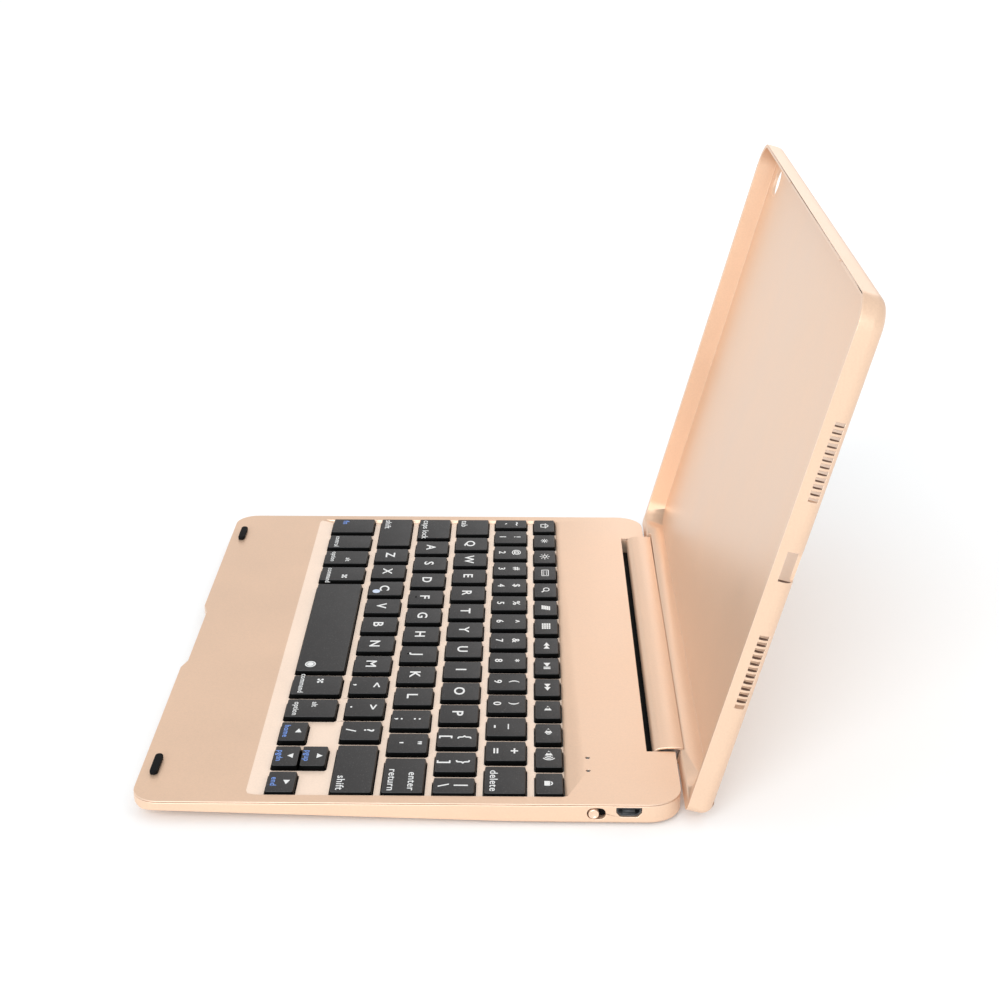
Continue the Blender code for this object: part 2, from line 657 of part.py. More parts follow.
def make_socket():
    """Charging socket: a metal shell around a tongue."""
    outer = WIDTH / 2 - SOCKET_WALL
    inner = WIDTH / 2 - SOCKET_DEPTH
    socket = along_x("usb_charging_socket", port_outline(GAP), inner, outer)
    mouth = along_x("usb_mouth", port_outline(GAP + SOCKET_WALL), inner + SOCKET_WALL, WIDTH / 2, CUTTERS)
    combine(socket, at_axis(mouth))
    tongue = box("usb_tongue", (inner + HAIR, PORT_Y - TONGUE_HALF, PORT_KNEE - GAP),
                 (outer - 2 * GAP, PORT_Y + TONGUE_HALF, PORT_KNEE + GAP), collection=CUTTERS)
    combine(socket, at_axis(tongue), "UNION")
    paint(at_axis(socket), *STEEL)


def make_electronics():
    """Board, battery, charging socket, and the plate and film under the keys."""
    board_low = FLOOR_TOP + GAP
    make_board(board_low, board_low + BOARD_THICK)
    make_socket()
    battery = box("battery_pack", (BATTERY_X[0], BOARD_FRONT, board_low),
                  (BATTERY_X[1], CAVITY_REAR - GAP, board_low + BATTERY_HEIGHT), BATTERY_CORNER)
    paint(at_axis(battery), *FOIL)
    for name, low, thick, look in (("key_support_plate", PLATE_Z, PLATE_THICK, STEEL),
                                   ("key_membrane_sheet", FILM_Z, FILM_THICK, FILM)):
        sheet = box(name, (-WELL_HALF, SHEET_FRONT, low), (WELL_HALF, SHEET_REAR, low + thick))
        paint(at_axis(sheet), *look)


def make_switch():
    """Round knob of the power switch, at the front end of its slot."""
    knob = rod("power_switch_knob", SWITCH_R - GAP, (KNOB_PROUD - KNOB_LENGTH, 0.0, 0.0),
               (KNOB_PROUD, 0.0, 0.0), 20)
    knob.location = (WIDTH / 2, AXIS_Y + SWITCH_Y - SWITCH_TRAVEL / 2, SWITCH_Z)
    paint(knob, *KNOB)


def lid_axis():
    """Empty on the hinge axis.  Its X runs across, its Y along the lid, its Z towards the front."""
    empty = bpy.data.objects.new("lid_axis", None)
    PARTS.objects.link(empty)
    empty.location = (0.0, AXIS_Y, AXIS_Z)
    empty.rotation_euler = (math.pi - OPEN_ANGLE, 0.0, 0.0)
    return empty


def lid_slots():
    """Two groups of speaker slots in the lid's right-hand rim."""
    bm = bmesh.new()
    for start in SLOT_STARTS:
        for step in range(SLOT_COUNT):
            s = start + step * SLOT_PITCH
            add_box(bm, (TRAY_HALF - WALL, s - SLOT_WIDTH / 2, -SLOT_BACK_T),
                    (WIDTH / 2 + WALL, s + SLOT_WIDTH / 2, -SLOT_FRONT_T))
    return new_object("speaker_slots", bm, CUTTERS)


def make_lid(parent):
    """Tray that holds the tablet: open front, rounded back edges, slots, port and camera hole."""
    outline = rounded_rectangle(-WIDTH / 2, LID_START, WIDTH / 2, LID_END, LID_CORNER, CORNER_STEPS,
                                LID_HINGE_CORNER)
    lid = slab("lid_shell", outline, -BACK_T, -LIP_T)
    bm = bmesh.new()
    bm.from_mesh(lid.data)
    bm.normal_update()
    back = [e for e in bm.edges if all(v.co.z < -BACK_T + GAP for v in e.verts)
            and any(abs(f.normal.z) < 0.5 for f in e.link_faces)]
    bmesh.ops.bevel(bm, geom=back, offset=BACK_ROUND, segments=BACK_STEPS, profile=0.5,
                    affect="EDGES")
    bm.to_mesh(lid.data)
    bm.free()
    tray = slab("tray_hollow", rounded_rectangle(-TRAY_HALF, TRAY_START, TRAY_HALF, TRAY_END,
                                                 TRAY_CORNER, 5), -TRAY_FLOOR_T, 0.0, CUTTERS)
    port = box("port_cut", (TRAY_HALF - WALL, PORT_S - PORT_WIDTH / 2, -BACK_T - WALL),
               (WIDTH / 2 + WALL, PORT_S + PORT_WIDTH / 2, -PORT_FRONT_T), collection=CUTTERS)
    seat = box("barrel_seat", (RECESS_LEFT - WALL, 0.0, -BARREL_BACK_T - GAP),
               (RECESS_RIGHT + WALL, TRAY_START, 0.0), collection=CUTTERS)
    bm = bmesh.new()
    for x in RIM_NOTCH_XS:
        add_box(bm, (x - RIM_NOTCH_HALF, TRAY_END - WALL, -RIM_NOTCH_T),
                (x + RIM_NOTCH_HALF, LID_END - RIM_NOTCH_WALL, 0.0))
    notches = new_object("rim_notches", bm, CUTTERS)
    bm = bmesh.new()
    bmesh.ops.create_cone(bm, cap_ends=True, segments=24, radius1=CAMERA_R, radius2=CAMERA_R,
                          depth=4 * BACK_T, matrix=Matrix.Translation((CAMERA_X, CAMERA_S, -BACK_T)))
    camera = new_object("camera_hole", bm, CUTTERS)
    for cutter in (tray, port, seat, notches, camera, lid_slots()):
        cutter.parent = parent
        combine(lid, cutter)
    lid.parent = parent
    paint(lid, *GOLD)


def barrel_section(inset):
    """Section of the barrel cover around the axis at rest, as (y, z) points: round front, crowned top."""
    radius = BARREL_R - inset
    tilt = OPEN_ANGLE - math.pi / 2
    back = BARREL_BACK_T - inset
    rear = [((back + z * math.sin(tilt)) / math.cos(tilt), z) for z in (-radius, radius)]
    top = []
    for step in range(1, CROWN_STEPS):
        share = step / CROWN_STEPS
        y = rear[1][0] + (BARREL_CENTRE_Y - rear[1][0]) * share
        top.append((y, radius + 4 * BARREL_CROWN * share * (1 - share)))
    return rear + top + arc((BARREL_CENTRE_Y, 0.0), radius, 90, 270, BARREL_STEPS)


def barrel_prism(name, inset, start, end, collection=PARTS):
    """The barrel's section drawn along X, set at the lid's opening angle."""
    made = along_x(name, barrel_section(inset), start, end, collection)
    made.data.transform(Matrix.Rotation(OPEN_ANGLE - math.pi, 4, "X"))
    return made


def make_hinge(parent):
    """Barrel cover on the lid, with a friction hinge at each end on a pin fixed in the base."""
    left = RECESS_LEFT + BARREL_END_GAP
    right = RECESS_RIGHT - BARREL_END_GAP
    cover = barrel_prism("hinge_barrel_cover", 0.0, left, right)
    hollow = barrel_prism("barrel_hollow", BARREL_WALL, left - WALL, right + WALL, CUTTERS)
    hollow.parent = parent
    combine(cover, hollow)
    cover.parent = parent
    smooth(cover)
    paint(cover, *GOLD)
    for side, sign, edge in (("left", -1.0, RECESS_LEFT), ("right", 1.0, RECESS_RIGHT)):
        ends = sorted((edge - sign * HINGE_INSET, edge - sign * (HINGE_INSET + HINGE_LENGTH)))
        block = barrel_prism(f"friction_hinge_{side}", BARREL_WALL + GAP, *ends)
        bore = rod(f"hinge_bore_{side}", PIN_R + GAP, (ends[0] - WALL, 0.0, 0.0),
                   (ends[1] + WALL, 0.0, 0.0), collection=CUTTERS)
        for piece in (block, bore):
            piece.parent = parent
        combine(block, bore)
        paint(block, *STEEL)
        reach = sorted((edge + sign * PIN_DEPTH, edge - sign * PIN_INSIDE))
        pin = rod(f"hinge_pin_{side}", PIN_R, (reach[0], 0.0, AXIS_Z), (reach[1], 0.0, AXIS_Z))
        paint(at_axis(pin), *STEEL)


def build():
    make_deck()
    make_bottom()
    make_feet_and_bumpers()
    make_electronics()
    make_switch()
    make_keys()
    axis = lid_axis()
    make_lid(axis)
    make_hinge(axis)


build()
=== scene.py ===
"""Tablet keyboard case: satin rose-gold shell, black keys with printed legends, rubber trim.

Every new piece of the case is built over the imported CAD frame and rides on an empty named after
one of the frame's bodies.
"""
import math

import bmesh
import bpy
from mathutils import Matrix, Vector


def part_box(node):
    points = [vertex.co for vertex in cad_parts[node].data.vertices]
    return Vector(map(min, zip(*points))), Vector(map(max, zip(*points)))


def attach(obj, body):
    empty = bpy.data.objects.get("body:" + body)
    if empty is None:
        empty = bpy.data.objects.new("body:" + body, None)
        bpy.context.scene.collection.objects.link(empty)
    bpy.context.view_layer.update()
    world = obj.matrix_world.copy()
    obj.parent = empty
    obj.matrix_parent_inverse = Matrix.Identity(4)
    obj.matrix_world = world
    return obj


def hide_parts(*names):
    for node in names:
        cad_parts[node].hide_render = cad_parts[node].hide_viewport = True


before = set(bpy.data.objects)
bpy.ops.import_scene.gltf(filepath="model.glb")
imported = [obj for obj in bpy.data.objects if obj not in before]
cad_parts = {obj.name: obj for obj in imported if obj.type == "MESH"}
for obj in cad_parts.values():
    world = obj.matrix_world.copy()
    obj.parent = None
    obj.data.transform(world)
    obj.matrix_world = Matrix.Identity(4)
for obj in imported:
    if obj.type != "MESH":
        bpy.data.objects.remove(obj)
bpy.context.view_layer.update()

bl_info = {
    "name": "Tablet Keyboard Case",
    "version": (1, 0, 0),
    "blender": (4, 5, 0),
    "location": "View3D > Sidebar > Keyboard Case",
    "description": "Builds a tablet keyboard case in full detail over its CAD frame",
    "category": "Mesh",
}

MM = 0.001
AXIS = sum(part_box("hinge_pin_left"), Vector()) / 2
WALL_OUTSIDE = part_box("base_bottom_cover")[1].x

# Openings in the lid's right rim, measured along the lid from the hinge axis
LID_TILT = math.radians(15.0)
SLOT_STARTS = (40.8 * MM, 112.9 * MM)
SLOT_RUN = 27.0 * MM
LID_PORT = 90.4 * MM
RIM_INSIDE = 120.4 * MM

# Edges below these heights stay sharp
DECK_ROUNDED_ABOVE = 7.5 * MM
LID_ROUNDED_ABOVE = AXIS.z + 7.0 * MM

# Heights that the keys are built between, and half the width of the webs that join them
FLANGE_LOW = 5.4 * MM
FLANGE_HIGH = 5.8 * MM
WEB_HIGH = 5.7 * MM
WEB_HALF = 1.5 * MM
WELL_FLOOR = 6.9 * MM
KEY_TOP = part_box("key_a")[1].z

# Key layout, with Y measured from the hinge axis
PITCH = 17.0 * MM
SPACE_BETWEEN = 4.2 * MM
SKIRT = 0.4 * MM
FLANGE_OUT = 0.7 * MM
NUMBER_ROW = -54.3 * MM
ROW_PITCH = 16.7 * MM
SPACE_ROW = -123.3 * MM
SPACE_DEPTH = 17.5 * MM
KEY_DEPTH = 13.2 * MM
ROWS = (
    ("function", -39.8 * MM, 8.6 * MM, (1.0,) * 14,
     "*home *dim *bright *board *search *page *pad *back *play *next *mute *softer *louder *lock"),
    ("number", NUMBER_ROW, KEY_DEPTH, (0.75,) + (1.0,) * 12 + (1.25,),
     "`~ 1! 2@ 3# 4$ 5% 6^ 7& 8* 9( 0) -_ =+ >delete"),
    ("q", NUMBER_ROW - ROW_PITCH, KEY_DEPTH, (1.2,) + (1.0,) * 12 + (0.8,),
     "<tab q w e r t y u i o p [{ ]} \\|"),
    ("a", NUMBER_ROW - 2 * ROW_PITCH, KEY_DEPTH, (1.45,) + (1.0,) * 11 + (1.55,),
     "<caps_lock a s d f g h j k l ;: '\" >return/enter"),
    ("z", NUMBER_ROW - 3 * ROW_PITCH, KEY_DEPTH, (1.95,) + (1.0,) * 10 + (2.05,),
     "<shift z x c v b n m ,< .> /? >shift"),
    ("space", SPACE_ROW, SPACE_DEPTH, (1.1, 1.0, 1.0, 1.0, 4.82, 1.08, 1.0),
     "~fn -control -option/alt -command/%four_dots *globe +command/%four_dots +option/alt"),
)
ARROWS = (("left", 4.5, 8.9, 0, "home"), ("down", 5.5, 8.2, 0, "pgdn"),
          ("up", 5.5, 8.2, 1, "pgup"), ("right", 6.5, 8.9, 0, "end"))

# Where the softbox and the camera stand, and what they face
SOFTBOX_PLACE = Vector((-1.2, 0.38, 0.62))
SOFTBOX_TARGET = Vector((0.0, 0.0, 0.05))
CAMERA_PLACE = Vector((0.63619, 0.01102, 0.31571))
CAMERA_TARGET = Vector((-0.06404, 0.00073, 0.03933))


# ---------------------------------------------------------------- settings

COLOUR = {"subtype": "COLOR", "size": 3, "min": 0.0, "max": 1.0}
LENGTH = {"unit": "LENGTH", "subtype": "DISTANCE", "min": 0.0}


class CaseShellSettings(bpy.types.PropertyGroup):
    colour: bpy.props.FloatVectorProperty(
        name="Shell colour", description="Anodised colour of the metal skin",
        default=(0.80, 0.55, 0.388), **COLOUR)
    # Painted light: a lighter copy of the shell colour on the floor between the keys, standing in
    # for the brighter light there
    well_painted_light_colour: bpy.props.FloatVectorProperty(
        name="Well colour", description="Painted lighter copy of the shell colour on the well floor",
        default=(0.97, 0.76, 0.61), **COLOUR)
    # Painted highlight: a lighter colour laid along the shell's sharp edges, standing in for the
    # light they catch
    edge_highlight_colour: bpy.props.FloatVectorProperty(
        name="Edge highlight colour", description="Painted highlight colour along the edges",
        default=(0.95, 0.78, 0.66), **COLOUR)
    roughness: bpy.props.FloatProperty(
        name="Roughness", description="How matt the satin finish is", subtype="FACTOR", min=0.0,
        max=1.0, default=0.36)
    edge: bpy.props.FloatProperty(
        name="Edge radius", description="Rounding of the skin's edges", default=0.22 * MM, **LENGTH)


class CaseKeySettings(bpy.types.PropertyGroup):
    top_colour: bpy.props.FloatVectorProperty(
        name="Top colour", description="Soft-touch coating on top of the keys",
        default=(0.028, 0.026, 0.026), **COLOUR)
    side_colour: bpy.props.FloatVectorProperty(
        name="Side colour", description="Moulded plastic of the key sides",
        default=(0.002, 0.002, 0.002), **COLOUR)
    corner: bpy.props.FloatProperty(
        name="Corner radius", description="Rounding of a key's upright edges", default=0.5 * MM,
        **LENGTH)
    rim: bpy.props.FloatProperty(
        name="Rim radius", description="Rounding along the edge of a key's top", default=0.2 * MM,
        **LENGTH)


class CaseLegendSettings(bpy.types.PropertyGroup):
    letter: bpy.props.FloatProperty(
        name="Letter height", description="Height of the capital letters", default=3.8 * MM,
        **LENGTH)
    sign: bpy.props.FloatProperty(
        name="Sign height", description="Height of digits and signs", default=2.75 * MM, **LENGTH)
    word: bpy.props.FloatProperty(
        name="Word height", description="Height of the words", default=2.6 * MM, **LENGTH)
    small_word: bpy.props.FloatProperty(
        name="Small word height", description="Height of the words in the lowest row",
        default=2.05 * MM, **LENGTH)
    stretch: bpy.props.FloatProperty(
        name="Stretch", description="How wide the letters are drawn", default=1.38, min=0.1)
    thickness: bpy.props.FloatProperty(
        name="Ink thickness", description="Thickness of the printed ink", default=0.03 * MM,
        **LENGTH)
    white: bpy.props.FloatVectorProperty(
        name="White ink", description="Colour of most legends", default=(0.82, 0.82, 0.81),
        **COLOUR)
    blue: bpy.props.FloatVectorProperty(
        name="Blue ink", description="Colour of the second-function legends",
        default=(0.16, 0.30, 0.74), **COLOUR)


class CaseTrimSettings(bpy.types.PropertyGroup):
    rubber: bpy.props.FloatVectorProperty(
        name="Rubber", description="Colour of bumpers and feet", default=(0.004, 0.004, 0.0045),
        **COLOUR)
    steel: bpy.props.FloatVectorProperty(
        name="Steel", description="Colour of pins, plate and port", default=(0.55, 0.55, 0.56),
        **COLOUR)
    knob: bpy.props.FloatVectorProperty(
        name="Knob", description="Colour of the power switch", default=(0.86, 0.62, 0.46), **COLOUR)


class CaseStageSettings(bpy.types.PropertyGroup):
    floor: bpy.props.FloatVectorProperty(
        name="Floor", description="Colour of the floor", default=(0.97, 0.97, 0.97), **COLOUR)
    daylight: bpy.props.FloatProperty(
        name="Surrounding light", description="Strength of the even light all round", default=0.80,
        min=0.0)
    sun: bpy.props.FloatProperty(
        name="High light", description="Strength of the soft light from above", default=2.3,
        min=0.0)
    softbox: bpy.props.FloatProperty(
        name="Softbox", description="Power of the main softbox", subtype="POWER", default=1.6,
        min=0.0)
    lens: bpy.props.FloatProperty(
        name="Lens", description="Focal length in millimetres", default=66.39, min=10.0)


SETTINGS = {
    "case_shell": CaseShellSettings,
    "case_keys": CaseKeySettings,
    "case_legends": CaseLegendSettings,
    "case_trim": CaseTrimSettings,
    "case_stage": CaseStageSettings,
}


# ---------------------------------------------------------------- mesh work

def in_scene(name, data):
    """A new object in the scene."""
    made = bpy.data.objects.new(name, data)
    bpy.context.scene.collection.objects.link(made)
    return made


def copied_skin(node):
    """A CAD part's mesh with its loose triangles joined."""
    bm = bmesh.new()
    bm.from_mesh(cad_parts[node].data)
    bmesh.ops.remove_doubles(bm, verts=bm.verts, dist=0.002 * MM)
    return bm


def finished(name, bm, body, materials, nodes=(), smooth=35.0):
    """Make the mesh an object that rides on a body, and hide the CAD nodes that it takes the place
    of.
    """
    mesh = bpy.data.meshes.new(name)
    bm.to_mesh(mesh)
    bm.free()
    for made in materials:
        mesh.materials.append(made)
    mesh.shade_smooth()
    mesh.set_sharp_from_angle(angle=math.radians(smooth))
    piece = in_scene(name, mesh)
    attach(piece, body)
    if nodes:
        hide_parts(*nodes)
    return piece


def add_block(bm, low, high, corner=0.0, corner_steps=1):
    """A box between two corners with its upright edges rounded.  Returns its faces."""
    before = set(bm.faces)
    size = Vector(high) - Vector(low)
    place = Matrix.Translation((Vector(high) + Vector(low)) / 2) @ Matrix.Diagonal((*size, 1.0))
    verts = bmesh.ops.create_cube(bm, size=1.0, matrix=place)["verts"]
    if corner:
        uprights = [edge for edge in {e for v in verts for e in v.link_edges}
                    if abs(edge.verts[0].co.z - edge.verts[1].co.z) > size.z / 2]
        bmesh.ops.bevel(bm, geom=uprights, offset=corner, segments=corner_steps, profile=0.5,
                        affect="EDGES", material=-1)
    return [face for face in bm.faces if face not in before]


def round_rim(bm, face, radius, steps):
    """Round the outline of one flat face.  Returns the new faces."""
    return bmesh.ops.bevel(bm, geom=face.edges[:], offset=radius, segments=steps, profile=0.5,
                           affect="EDGES", material=-1)["faces"]


def topmost(faces):
    return max(faces, key=lambda face: face.calc_center_median().z)


def lowest(faces):
    return min(faces, key=lambda face: face.calc_center_median().z)


# ---------------------------------------------------------------- shader work

class NodeBench:
    """Short ways to add and join shader nodes in one tree."""

    def __init__(self, tree):
        self.tree = tree

    def add(self, kind, **settings):
        node = self.tree.nodes.new(kind)
        for name, value in settings.items():
            setattr(node, name, value)
        return node

    def link(self, source, target):
        self.tree.links.new(source, target)

    def feed(self, node, name, value):
        """Set an input, or link it when the value is another node's output."""
        socket = node.inputs[name]
        if isinstance(value, bpy.types.NodeSocket):
            self.link(value, socket)
        else:
            socket.default_value = value

    def math(self, operation, first, second=0.0, third=0.0, clamp=False):
        node = self.add("ShaderNodeMath", operation=operation, use_clamp=clamp)
        for index, value in enumerate((first, second, third)):
            self.feed(node, index, value)
        return node.outputs[0]

    def spread(self, value, low, high, to_low, to_high):
        node = self.add("ShaderNodeMapRange")
        for name, item in (("Value", value), ("From Min", low), ("From Max", high),
                           ("To Min", to_low), ("To Max", to_high)):
            self.feed(node, name, item)
        return node.outputs["Result"]

    def place(self):
        """Where a point is on the object itself."""
        return self.add("ShaderNodeTexCoord").outputs["Object"]

    def noise(self, vector, size, detail, rough):
        """Soft random patches of about one size."""
        node = self.add("ShaderNodeTexNoise")
        for name, item in (("Vector", vector), ("Scale", self.math("DIVIDE", 1.0, size)),
                           ("Detail", detail), ("Roughness", rough)):
            self.feed(node, name, item)
        return node.outputs["Fac"]

    def mix(self, factor, first, second, blend="MIX"):
        node = self.add("ShaderNodeMix", data_type="RGBA", blend_type=blend)
        self.feed(node, 0, factor)
        self.feed(node, 6, first)
        self.feed(node, 7, second)
        return node.outputs[2]

    def shade(self, colour, factor):
        """Multiply a colour by a number that changes over the surface."""
        node = self.add("ShaderNodeVectorMath", operation="SCALE")
        self.feed(node, 0, colour)
        self.feed(node, "Scale", factor)
        return node.outputs[0]


def new_group(name, inputs, outputs):
    """An empty shader node group with named sockets.  Returns its bench, inlets and outlets."""
    group = bpy.data.node_groups.new(name, "ShaderNodeTree")
    for label, kind, default in inputs:
        socket = group.interface.new_socket(name=label, in_out="INPUT",
                                            socket_type="NodeSocket" + kind)
        socket.default_value = default
    for label, kind in outputs:
        group.interface.new_socket(name=label, in_out="OUTPUT", socket_type="NodeSocket" + kind)
    bench = NodeBench(group)
    inlets = bench.add("NodeGroupInput").outputs
    outlets = bench.add("NodeGroupOutput").inputs
    return bench, inlets, outlets


def satin_grain_group():
    """Fine bead-blasted grain with slow clouding of tone, for metal, coating and plastic."""
    bench, inlets, outlets = new_group(
        "Satin Grain",
        (("Colour", "Color", (0.8, 0.8, 0.8, 1.0)), ("Tone Spread", "Float", 0.05),
         ("Roughness", "Float", 0.4), ("Roughness Spread", "Float", 0.06),
         ("Grain Size", "Float", 0.0004), ("Cloud Size", "Float", 0.05),
         ("Depth", "Float", 0.00001), ("Stretch", "Vector", (1.0, 1.0, 1.0))),
        (("Colour", "Color"), ("Roughness", "Float"), ("Normal", "Vector")))
    place = bench.place()
    stretched = bench.add("ShaderNodeVectorMath", operation="MULTIPLY")
    bench.link(place, stretched.inputs[0])
    bench.link(inlets["Stretch"], stretched.inputs[1])
    grain = bench.noise(stretched.outputs[0], inlets["Grain Size"], 3.0, 0.6)
    cloud = bench.noise(place, inlets["Cloud Size"], 3.0, 0.55)
    fine = bench.math("SUBTRACT", grain, 0.5)
    slow = bench.math("SUBTRACT", cloud, 0.5)
    swing = bench.math("ADD", fine, slow)
    tone = bench.math("MULTIPLY_ADD", swing, inlets["Tone Spread"], 1.0)
    bench.link(bench.shade(inlets["Colour"], tone), outlets["Colour"])
    bench.link(bench.math("MULTIPLY_ADD", swing, inlets["Roughness Spread"], inlets["Roughness"]),
               outlets["Roughness"])
    bump = bench.add("ShaderNodeBump")
    bump.inputs["Strength"].default_value = 1.0
    bench.link(inlets["Depth"], bump.inputs["Distance"])
    bench.link(grain, bump.inputs["Height"])
    bench.link(bump.outputs["Normal"], outlets["Normal"])
    return bench.tree


def edge_highlight_group():
    """Painted highlight along edges: finds sharp edges, lightens them towards a brighter colour and
    breaks the line up unevenly.
    """
    bench, inlets, outlets = new_group(
        "Edge Highlight",
        (("Colour", "Color", (0.8, 0.8, 0.8, 1.0)),
         ("Rubbed Colour", "Color", (1.0, 1.0, 1.0, 1.0)),
         ("Reach", "Float", 0.0003), ("Amount", "Float", 0.7), ("Break Size", "Float", 0.004)),
        (("Colour", "Color"), ("Mask", "Float")))
    rounded = bench.add("ShaderNodeBevel", samples=4)
    bench.link(inlets["Reach"], rounded.inputs["Radius"])
    plain = bench.add("ShaderNodeNewGeometry").outputs["Normal"]
    likeness = bench.add("ShaderNodeVectorMath", operation="DOT_PRODUCT")
    bench.link(rounded.outputs["Normal"], likeness.inputs[0])
    bench.link(plain, likeness.inputs[1])
    edge = bench.spread(likeness.outputs["Value"], 0.995, 0.90, 0.0, 1.0)
    patches = bench.noise(bench.place(), inlets["Break Size"], 3.0, 0.6)
    broken = bench.math("MULTIPLY", edge, bench.spread(patches, 0.35, 0.65, 0.55, 1.0))
    mask = bench.math("MULTIPLY", broken, inlets["Amount"], clamp=True)
    bench.link(mask, outlets["Mask"])
    bench.link(bench.mix(mask, inlets["Colour"], inlets["Rubbed Colour"]), outlets["Colour"])
    return bench.tree


def speckle_group():
    """Scattered small specks and dust."""
    bench, inlets, outlets = new_group(
        "Speckle",
        (("Colour", "Color", (0.1, 0.1, 0.1, 1.0)), ("Speck Colour", "Color", (0.3, 0.3, 0.3, 1.0)),
         ("Speck Size", "Float", 0.0005), ("Cover", "Float", 0.2)),
        (("Colour", "Color"), ("Mask", "Float")))
    dots = bench.noise(bench.place(), inlets["Speck Size"], 1.0, 0.5)
    threshold = bench.math("SUBTRACT", 0.78, bench.math("MULTIPLY", inlets["Cover"], 0.3))
    upper = bench.math("ADD", threshold, 0.12)
    mask = bench.spread(dots, threshold, upper, 0.0, 1.0)
    bench.link(mask, outlets["Mask"])
    bench.link(bench.mix(mask, inlets["Colour"], inlets["Speck Colour"]), outlets["Colour"])
    return bench.tree


GROUPS = {}


def group_tree(name):
    makers = {"grain": satin_grain_group, "edge_highlight": edge_highlight_group, "speckle": speckle_group}
    if name not in GROUPS:
        GROUPS[name] = makers[name]()
    return GROUPS[name]


class Finish:
    """A material under work: the Principled shader with its own settings, and groups feeding it."""

    def __init__(self, name, **shader_values):
        self.material = bpy.data.materials.new(name)
        self.material.use_nodes = True
        self.bench = NodeBench(self.material.node_tree)
        self.shader = self.material.node_tree.nodes["Principled BSDF"]
        for label, value in shader_values.items():
            self.shader.inputs[label.replace("_", " ")].default_value = value

    def use(self, name, **values):
        node = self.bench.add("ShaderNodeGroup", node_tree=group_tree(name))
        for label, value in values.items():
            self.bench.feed(node, label.replace("_", " "), value)
        return node.outputs

    def to(self, **outputs):
        for label, source in outputs.items():
            self.bench.link(source, self.shader.inputs[label.replace("_", " ")])
        return self.material

    def grained(self, colour, tone, rough, uneven, grain, cloud, depth, stretch=(1.0, 1.0, 1.0)):
        """Lay the satin grain over a colour and feed it to the shader."""
        made = self.use("grain", Colour=colour, Tone_Spread=tone, Roughness=rough,
                        Roughness_Spread=uneven, Grain_Size=grain, Cloud_Size=cloud, Depth=depth,
                        Stretch=stretch)
        return self.to(Base_Color=made["Colour"], Roughness=made["Roughness"],
                       Normal=made["Normal"])


def solid(colour):
    return (*colour, 1.0)


MATERIALS = {}


def material(maker):
    """Make a material once, named after the function that makes it."""
    name = maker.__name__
    if name not in MATERIALS:
        MATERIALS[name] = maker(name)
    return MATERIALS[name]


def gold(name, colour, metallic):
    settings = bpy.context.scene.case_shell
    work = Finish(name, Metallic=metallic)
    # Painted highlight along the sharp edges
    edge_highlight = work.use("edge_highlight", Colour=solid(colour), Rubbed_Colour=solid(settings.edge_highlight_colour),
                   Reach=0.35 * MM, Amount=0.75, Break_Size=6.0 * MM)
    return work.grained(edge_highlight["Colour"], tone=0.16, rough=settings.roughness, uneven=0.16,
                        grain=0.7 * MM, cloud=45.0 * MM, depth=0.012 * MM)


def satin_rose_gold(name):
    return gold(name, bpy.context.scene.case_shell.colour, 0.45)


# Painted light: the shell gold made lighter for the well floor
def well_painted_light_gold(name):
    return gold(name, bpy.context.scene.case_shell.well_painted_light_colour, 0.2)


# Painted shade: near-black gold on the walls of the lid's slots and port opening
def slot_painted_shade_gold(name):
    return gold(name, (0.11, 0.048, 0.026), 0.3)


def key_top_coating(name):
    settings = bpy.context.scene.case_keys
    work = Finish(name, Specular_IOR_Level=0.3)
    speckle = work.use("speckle", Colour=solid(settings.top_colour),
                       Speck_Colour=(0.075, 0.07, 0.068, 1.0), Speck_Size=0.45 * MM, Cover=0.5)
    # Painted highlight along the rim of each key top
    edge_highlight = work.use("edge_highlight", Colour=speckle["Colour"], Rubbed_Colour=(0.13, 0.125, 0.12, 1.0),
                   Reach=0.3 * MM, Amount=0.8, Break_Size=3.0 * MM)
    return work.grained(edge_highlight["Colour"], tone=0.35, rough=0.5, uneven=0.2, grain=0.5 * MM,
                        cloud=9.0 * MM, depth=0.01 * MM)


def key_side_plastic(name):
    settings = bpy.context.scene.case_keys
    work = Finish(name, Specular_IOR_Level=0.02)
    return work.grained(solid(settings.side_colour), tone=0.5, rough=0.32, uneven=0.15,
                        grain=0.6 * MM, cloud=7.0 * MM, depth=0.004 * MM)


def ink(name, colour, worn):
    work = Finish(name, Specular_IOR_Level=0.35)
    speckle = work.use("speckle", Colour=solid(colour), Speck_Colour=solid(worn),
                       Speck_Size=0.5 * MM, Cover=0.35)
    return work.grained(speckle["Colour"], tone=0.1, rough=0.45, uneven=0.2, grain=0.35 * MM,
                        cloud=8.0 * MM, depth=0.006 * MM)


def white_ink(name):
    return ink(name, bpy.context.scene.case_legends.white, (0.5, 0.5, 0.5))


def blue_ink(name):
    return ink(name, bpy.context.scene.case_legends.blue, (0.35, 0.42, 0.62))


def pale_ink(name):
    return ink(name, (0.62, 0.70, 0.86), (0.35, 0.42, 0.60))


def soft_rubber(name):
    work = Finish(name, Specular_IOR_Level=0.12)
    speckle = work.use("speckle", Colour=solid(bpy.context.scene.case_trim.rubber),
                       Speck_Colour=(0.04, 0.038, 0.036, 1.0), Speck_Size=0.5 * MM, Cover=0.25)
    # Painted highlight along the rubber's edges
    edge_highlight = work.use("edge_highlight", Colour=speckle["Colour"], Rubbed_Colour=(0.03, 0.03, 0.03, 1.0),
                   Reach=0.3 * MM, Amount=0.7, Break_Size=2.5 * MM)
    return work.grained(edge_highlight["Colour"], tone=0.3, rough=0.72, uneven=0.15, grain=0.4 * MM,
                        cloud=6.0 * MM, depth=0.03 * MM)


